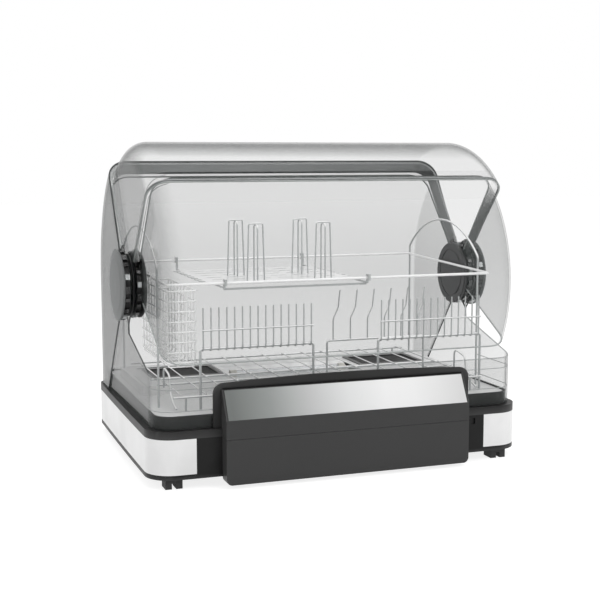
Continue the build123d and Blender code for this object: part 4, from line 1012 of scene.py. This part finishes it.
@dataclass
class CoverTrim(SubAssembly):
    """Rims, lips and folds of the clear covers."""

    def rim(self, name: str, shell: Shell, edge: float, band: Span, finish: Finish, body: Body) -> None:
        """Put a rim inside a cover's wall along one of its edges.

        Args:
            name: The piece's name.
            shell: The cover.
            edge: Lean angle of the cover's edge.
            band: Where the rim starts and ends, in mm along the sweep from that edge.
            finish: The rim's finish.
            body: The body that carries the cover.
        """
        build = bmesh.new()
        angles = tuple(edge + math.degrees(reach / shell.radius) for reach in band)
        add_staple_band(build, shell, angles, (RIM_INSET, COVER_WALL - RIM_INSET))
        self.finish(mesh_piece(name, build), finish, "clear_cover", body)

    def shadow_gap_line(self) -> None:
        """Lay a black rod between the mirror panel's top edge and the upstand, a painted shadow gap."""
        half_width, y, z, diameter = 181.5, -191.6, 135.9, 2.4
        run = WireRun(((-half_width, y, z), (half_width, y, z)), diameter)
        self.finish(wire_piece("panel_shadow_gap", [run]), SHADOW_GAP_BLACK, "rubber_black", Body.CABINET)

    def build(self) -> None:
        """Build all cover trim."""
        top, front = Body.TOP_COVER, Body.FRONT_COVER
        for rim in (
            ("rear_shell_rim", REAR_SHELL, REAR_EDGE, (-0.2, -2.4), RIM_CLEAR, Body.CABINET),
            ("top_cover_edge", TOP_COVER, TOP_FRONT_EDGE, (-0.2, -0.8), FAINT_RIM, top),
            ("top_cover_lip", TOP_COVER, TOP_FRONT_EDGE, (-3.2, -5.2), LIP_CLEAR, top),
            ("top_cover_rear_rim", TOP_COVER, TOP_REAR_EDGE, (0.2, 1.4), SOFT_RIM, top),
            ("front_cover_top_rim", FRONT_COVER, FRONT_TOP_EDGE, (0.2, 1.0), FAINT_RIM, front),
            ("front_cover_foot_rim", FRONT_COVER, FRONT_BOTTOM_EDGE, (-0.2, -1.2), FAINT_RIM, front),
        ):
            self.rim(*rim)
        self.bow_edges()
        self.guard_edges()
        self.shadow_gap_line()

    def bow_edges(self) -> None:
        """Run fine beads along both edges of each bow, at its left end alone."""
        setback, bow_depth, bead_width, bead_depth = 2.5, 3.1, 0.9, 0.5
        for name, shell, edge, width, body in (
            ("front_bow_beads", TOP_COVER, TOP_FRONT_EDGE, 20.0, Body.TOP_COVER),
            ("rear_bow_beads", REAR_SHELL, REAR_EDGE, 25.0, Body.CABINET),
        ):
            build = bmesh.new()
            centre = edge - math.degrees((width / 2 + setback) / shell.radius)
            inner = Shell(shell.half_width - COVER_WALL - bow_depth, shell.radius - COVER_WALL - bow_depth)
            for sign in (-1, 1):
                side = centre + sign * math.degrees(width / 2 / shell.radius)
                inward = side - sign * math.degrees(bead_width / shell.radius)
                add_staple_band(build, inner, (side, inward), (0.0, bead_depth))
            spare = [vert for vert in build.verts if vert.co.x > -inner.half_width + COVER_CORNER]
            bmesh.ops.delete(build, geom=spare, context="VERTS")
            self.finish(mesh_piece(name, build), SOFT_RIM, "smoked_bow", body)

    def guard_line(self, rear_y: float, level: Callable[[float], float]) -> WireRun:
        """Run a bead round the guard's plan: along one end, round both corners and along the other.

        Args:
            rear_y: Where the run ends.
            level: Height of the run at a depth.

        Returns:
            The bead.
        """
        x, front, radius = GUARD_HALF_WIDTH - HALF_WALL, GUARD_FRONT_Y + HALF_WALL, GUARD_CORNER - HALF_WALL
        half = [(x, rear_y)]
        for step in range(ARC_STEPS + 1):
            turn = math.radians(90 * step / ARC_STEPS)
            half.append((x - radius * (1 - math.cos(turn)), front + radius * (1 - math.sin(turn))))
        left = [(-px, py, level(py)) for px, py in half]
        right = [(px, py, level(py)) for px, py in reversed(half)]
        return WireRun((*left, *right), diameter=1.1, bend=0.0)

    def guard_edges(self) -> None:
        """Bead the guard's top edge, its moulded ridges and the shell's foot edges."""
        neck_y, neck_z = -24.1, 193.0
        shoulder_y, shoulder_z = -168.6, 152.2
        ridge_rear, ridge_levels = -60.0, (137.0, 107.0)
        rise = (neck_z - shoulder_z) / (neck_y - shoulder_y)
        runs = [self.guard_line(neck_y, lambda y: shoulder_z + rise * max(0.0, y - shoulder_y))]
        runs += [self.guard_line(ridge_rear, lambda y, height=height: height) for height in ridge_levels]
        self.finish(wire_piece("guard_beads", runs), FAINT_RIM, "clear_cover", Body.CABINET)
        foot_radii, fork_x, fork_waist = (47.0, 229.0), 276.2, (-23.0, 207.0)
        feet = []
        for side in Side:
            shell_x = side.value * (REAR_SHELL.half_width - HALF_WALL)
            feet.append(WireRun(tuple(lean_point(shell_x, radius, SHELL_FOOT) for radius in foot_radii)))
            for root in ((-38.0, 222.5), (-9.4, 218.5)):
                fork = tuple((side.value * fork_x, *place) for place in (root, fork_waist, (neck_y, neck_z)))
                feet.append(WireRun(fork, bend=6.0))
        left_x, slope_reach = HALF_WALL - GUARD_HALF_WIDTH, 16.0
        slope_foot = (left_x, shoulder_y + slope_reach, shoulder_z + rise * slope_reach)
        feet.append(WireRun(((left_x, neck_y, neck_z), slope_foot), diameter=1.7))
        self.finish(wire_piece("shell_foot_beads", feet), RIM_CLEAR, "clear_cover", Body.CABINET)


@dataclass
class HubDetail(SubAssembly):
    """Ribs, painted glint blocks and bow sockets round both hubs."""

    def build(self) -> None:
        """Build the ribs of both hubs and the sockets at the bows' roots."""
        self.ribs()
        self.sockets()

    def ribs(self) -> None:
        """Build two rings of ribs round each hub, with a light grey block here and there as a painted glint.
        """
        zones = (((263.4, 269.1), (45.6, 49.6)), ((280.4, 286.8), (48.6, 51.6)))
        teeth, pitch_deg, zone_shift_deg, least_deg, growth_deg = 18, 20.0, 7.0, 6.0, 3.0
        black, glints = bmesh.new(), bmesh.new()
        for side in Side:
            for zone, (xs, radii) in enumerate(zones):
                spans = tuple(side.value * x for x in xs)
                for tooth in range(teeth):
                    lean = pitch_deg * tooth + zone_shift_deg * zone
                    wide = least_deg + growth_deg * ((tooth + zone) % 3)
                    target = glints if (tooth * 5 + zone) % 4 == 0 else black
                    add_wedge_block(target, spans, radii, (lean, lean + wide))
        self.finish(mesh_piece("hub_ribs", black), HUB_GLOSS, "hub_grey", Body.CABINET)
        self.finish(mesh_piece("hub_glints", glints), HUB_PAINTED_GLINT, "hub_grey", Body.CABINET)

    def sockets(self) -> None:
        """Build the sockets that hold the bows' roots, each with a thin lip on its inner side."""
        socket_radii, socket_deg = (50.6, 62.0), 13.0
        lip_radii, lip_deg, lip_height = (52.0, 58.0), 9.0, 0.9
        for name, xs, centre, body in (
            ("front_bow_sockets", (264.6, 269.6), 39.0, Body.TOP_COVER),
            ("rear_bow_sockets", (272.9, 277.3), -37.5, Body.CABINET),
        ):
            sockets = bmesh.new()
            for side in Side:
                spans = tuple(side.value * x for x in xs)
                add_wedge_block(sockets, spans, socket_radii, (centre - socket_deg, centre + socket_deg))
                lip = tuple(side.value * x for x in (xs[0] - lip_height, xs[0]))
                add_wedge_block(sockets, lip, lip_radii, (centre - lip_deg, centre + lip_deg))
            self.finish(mesh_piece(name, sockets), HUB_GLOSS, "hub_grey", body)


@dataclass
class WireRacks(SubAssembly):
    """Round coated wires in place of the CAD's flat-sided ones."""

    def wires(
        self, name: str, runs: Sequence[WireRun], body: Body, node: str, finish: Finish = COATED_WIRE
    ) -> None:
        """Build one rack in place of its node."""
        self.finish(wire_piece(name, runs), finish, "white_wire", body, (node,))

    def hoops(self) -> None:
        """Build both end hoops."""
        half_width, front_y, rear_y, shoulder, top = 252.0, -106.0, 140.0, 297.5, 348.5
        shoulder_bend = 9.0
        middle, half = (front_y + rear_y) / 2, (rear_y - front_y) / 2
        rise = top - shoulder
        radius = (half**2 + rise**2) / (2 * rise)
        opening = math.asin(half / radius)
        turns = [opening * (step / ARC_STEPS - 1) for step in range(2 * ARC_STEPS + 1)]
        for side in Side:
            x = side.value * half_width
            arch = [
                (x, middle + radius * math.sin(turn), top - radius * (1 - math.cos(turn))) for turn in turns
            ]
            points = ((x, front_y, RACK_FOOT_Z), *arch, (x, rear_y, REAR_FOOT_Z))
            bends = (0.0, shoulder_bend, *([0.0] * (len(arch) - 2)), shoulder_bend, 0.0)
            route = rounded(points, bends, closed=False)
            run = WireRun(tuple(tuple(place) for place in route), BAR_WIRE, bend=0.0)
            end = side.name.lower()
            self.wires(f"hoop_{end}", (run,), Body.CABINET, f"end_frame_{end}")

    def rail(self) -> None:
        """Build the upper rail."""
        x, diameter, bends = 248.3, 4.0, (4.0, 4.0, 6.0, 6.0)
        points = ((-x, *RAIL_FRONT), (x, *RAIL_FRONT), (x, *RAIL_REAR), (-x, *RAIL_REAR))
        route = rounded(points, bends, closed=True)
        run = WireRun(tuple(tuple(place) for place in route), diameter, bend=0.0, closed=True)
        self.wires("rail_wire", (run,), Body.CABINET, "upper_rail", BRIGHT_WIRE)

    def prongs(self) -> None:
        """Build the four cup prongs, each of two crossing loops."""
        foot, top = 272.3, 272.3 + 84.0
        wide_foot, wide_top, deep_half, deep_drop = 13.0, 10.5, 8.5, 2.0
        runs = []
        for x in (-109.0, -6.0):
            for y in (-113.0, -13.0):
                wide = (
                    (x - wide_foot, y, foot),
                    (x - wide_top, y, top),
                    (x + wide_top, y, top),
                    (x + wide_foot, y, foot),
                )
                deep = (
                    (x, y - deep_half, foot),
                    (x, y - deep_half, top - deep_drop),
                    (x, y + deep_half, top - deep_drop),
                    (x, y + deep_half, foot),
                )
                runs += [WireRun(wide, bend=2.5), WireRun(deep, bend=6.0)]
        self.wires("prong_wires", runs, Body.CUP_SHELF, "cup_prongs")

    def basket(self) -> None:
        """Build the cutlery basket with its loops, cradles, keels and hooks."""
        left, right, front, rear, low, high = -243.0, -201.0, -128.0, 40.0, 164.0, 265.0
        inset, cradle_z, keel_z, end_gap = 1.7, 157.4, 159.1, 6.0
        loops, cradles, rim_wire = 8, 9, 2.6
        runs = []
        for loop in range(loops):
            z = low + (high - low) * loop / (loops - 1)
            corners = ((left, front, z), (right, front, z), (right, rear, z), (left, rear, z))
            diameter = rim_wire if loop == loops - 1 else FINE_WIRE
            runs.append(WireRun(corners, diameter, bend=5.0, closed=True))
        start, end = left + inset, right - inset
        for cradle in range(cradles):
            y = front + end_gap + (rear - front - 2 * end_gap) * cradle / (cradles - 1)
            sling = ((start, y, high), (start, y, cradle_z), (end, y, cradle_z), (end, y, high))
            runs.append(WireRun(sling, bend=4.0))
        start, end = front + inset, rear - inset
        for x in (-227.0, -216.0):
            keel = ((x, start, high), (x, start, keel_z), (x, end, keel_z), (x, end, high))
            runs.append(WireRun(keel, bend=4.0))
        root_x, tip_x, root_z, tip_drop, over_rail = -244.7, -251.9, 248.0, 8.0, 3.6
        slope = (RAIL_REAR[1] - RAIL_FRONT[1]) / (RAIL_REAR[0] - RAIL_FRONT[0])
        for y in (-66.0, -22.0):
            top = RAIL_FRONT[1] + slope * (y - RAIL_FRONT[0]) + over_rail
            hook = ((root_x, y, root_z), (root_x, y, top), (tip_x, y, top), (tip_x, y, top - tip_drop))
            runs.append(WireRun(hook, bend=2.5))
        self.wires("basket_wires", runs, Body.BASKET, "cutlery_basket", BRIGHT_WIRE)

    def bowl_racks(self) -> None:
        """Build both bowl racks with their rows of tines."""
        tines, pitch, leg_wire = 15, 11.5, 3.8
        tine_y, heel_y, cross_y, leg_y = -140.0, -126.0, -141.7, -137.5
        tip_z, heel_z, cross_z, leg_z = 242.0, 181.0, 210.0, 183.5
        cross_out, leg_out = 2.2, 4.0
        for side, start in ((Side.LEFT, -195.0), (Side.RIGHT, 76.0)):
            runs = []
            for tine in range(tines):
                x = start + pitch * tine
                bent = ((x, tine_y, tip_z), (x, tine_y, heel_z), (x, heel_y, heel_z))
                runs.append(WireRun(bent, bend=4.0))
            end = start + pitch * (tines - 1)
            runs.append(WireRun(((start - cross_out, cross_y, cross_z), (end + cross_out, cross_y, cross_z))))
            first, last = start - leg_out, end + leg_out
            legs = (
                (first, leg_y, RACK_FOOT_Z),
                (first, leg_y, leg_z),
                (last, leg_y, leg_z),
                (last, leg_y, RACK_FOOT_Z),
            )
            runs.append(WireRun(legs, leg_wire, bend=4.0))
            name = side.name.lower()
            self.wires(f"bowl_wires_{name}", runs, Body.CABINET, f"bowl_rack_{name}")

    def plate_rack(self) -> None:
        """Build the plate rack with its swept tines."""
        y, bar_z, left, right = -60.0, 172.0, 21.0, 183.0
        tines, first, pitch = 6, 31.0, 28.4
        sweep = ((0.0, bar_z), (0.0, 206.0), (8.0, 222.0), (11.0, 249.0))
        runs = [
            WireRun(tuple((first + pitch * tine + out, y, z) for out, z in sweep), bend=18.0)
            for tine in range(tines)
        ]
        legs = ((left, y, RACK_FOOT_Z), (left, y, bar_z), (right, y, bar_z), (right, y, RACK_FOOT_Z))
        runs.append(WireRun(legs, BAR_WIRE, bend=5.0))
        self.wires("plate_wires", runs, Body.CABINET, "plate_rack")

    def floor_rack(self) -> None:
        """Build the floor rack with its bars, cross wires, feet and front side loops."""
        half_width, half_depth, bar_z, wire_z = 240.0, 144.0, 118.0, 120.2
        wires, pitch, foot_x, loop_x, loop_wire = 14, 35.0, 222.0, 235.0, 3.0
        runs = []
        for y in (-half_depth, -45.0, 0.0, 100.0, half_depth):
            runs.append(WireRun(((-half_width, y, bar_z), (half_width, y, bar_z)), BAR_WIRE))
        for wire in range(wires):
            x = pitch * (wire - (wires - 1) / 2)
            runs.append(WireRun(((x, -half_depth, wire_z), (x, half_depth, wire_z))))
        for side in Side:
            x = side.value * foot_x
            for y, foot_z in ((-half_depth, RACK_FOOT_Z), (half_depth, REAR_FOOT_Z)):
                runs.append(WireRun(((x, y, foot_z), (x, y, bar_z)), BAR_WIRE))
        rise, fall = ((-65.8, bar_z), (-65.8, 148.6), (-100.7, 142.5)), ((-106.5, bar_z), (-121.0, 107.0))
        loop = (*rise, *fall, (-141.0, 101.0))
        for side in Side:
            bent = tuple((side.value * loop_x, *place) for place in loop)
            runs.append(WireRun(bent, loop_wire, bend=9.0))
        self.wires("floor_wires", runs, Body.CABINET, "floor_rack")

    def build(self) -> None:
        """Build every rack."""
        self.hoops()
        self.rail()
        self.prongs()
        self.basket()
        self.bowl_racks()
        self.plate_rack()
        self.floor_rack()


@dataclass
class CabinetScene:
    """The whole dressed cabinet."""

    frame: dict
    palette: Palette = field(default_factory=Palette)

    def dress_nodes(self) -> None:
        """Give every carried-over node its own finish."""
        for part in self.frame["record"]["subparts"]:
            finish = NODE_FINISHES.get(part["node"], SLOT_FINISHES[part["material_slot"]])
            dress(self.frame["nodes"][part["node"]], self.palette.get(finish))
            LOG.info("dressed %s in %s", part["node"], finish.name)

    def build(self) -> None:
        """Dress the nodes and add every new piece."""
        self.dress_nodes()
        CoverTrim(self.palette).build()
        HubDetail(self.palette).build()
        WireRacks(self.palette).build()


def main() -> None:
    """Load the frame, dress it, and set up the studio."""
    logging.basicConfig(level=logging.INFO)
    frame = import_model()
    Studio().build()
    CabinetScene(frame).build()


if __name__ == "__main__":
    main()
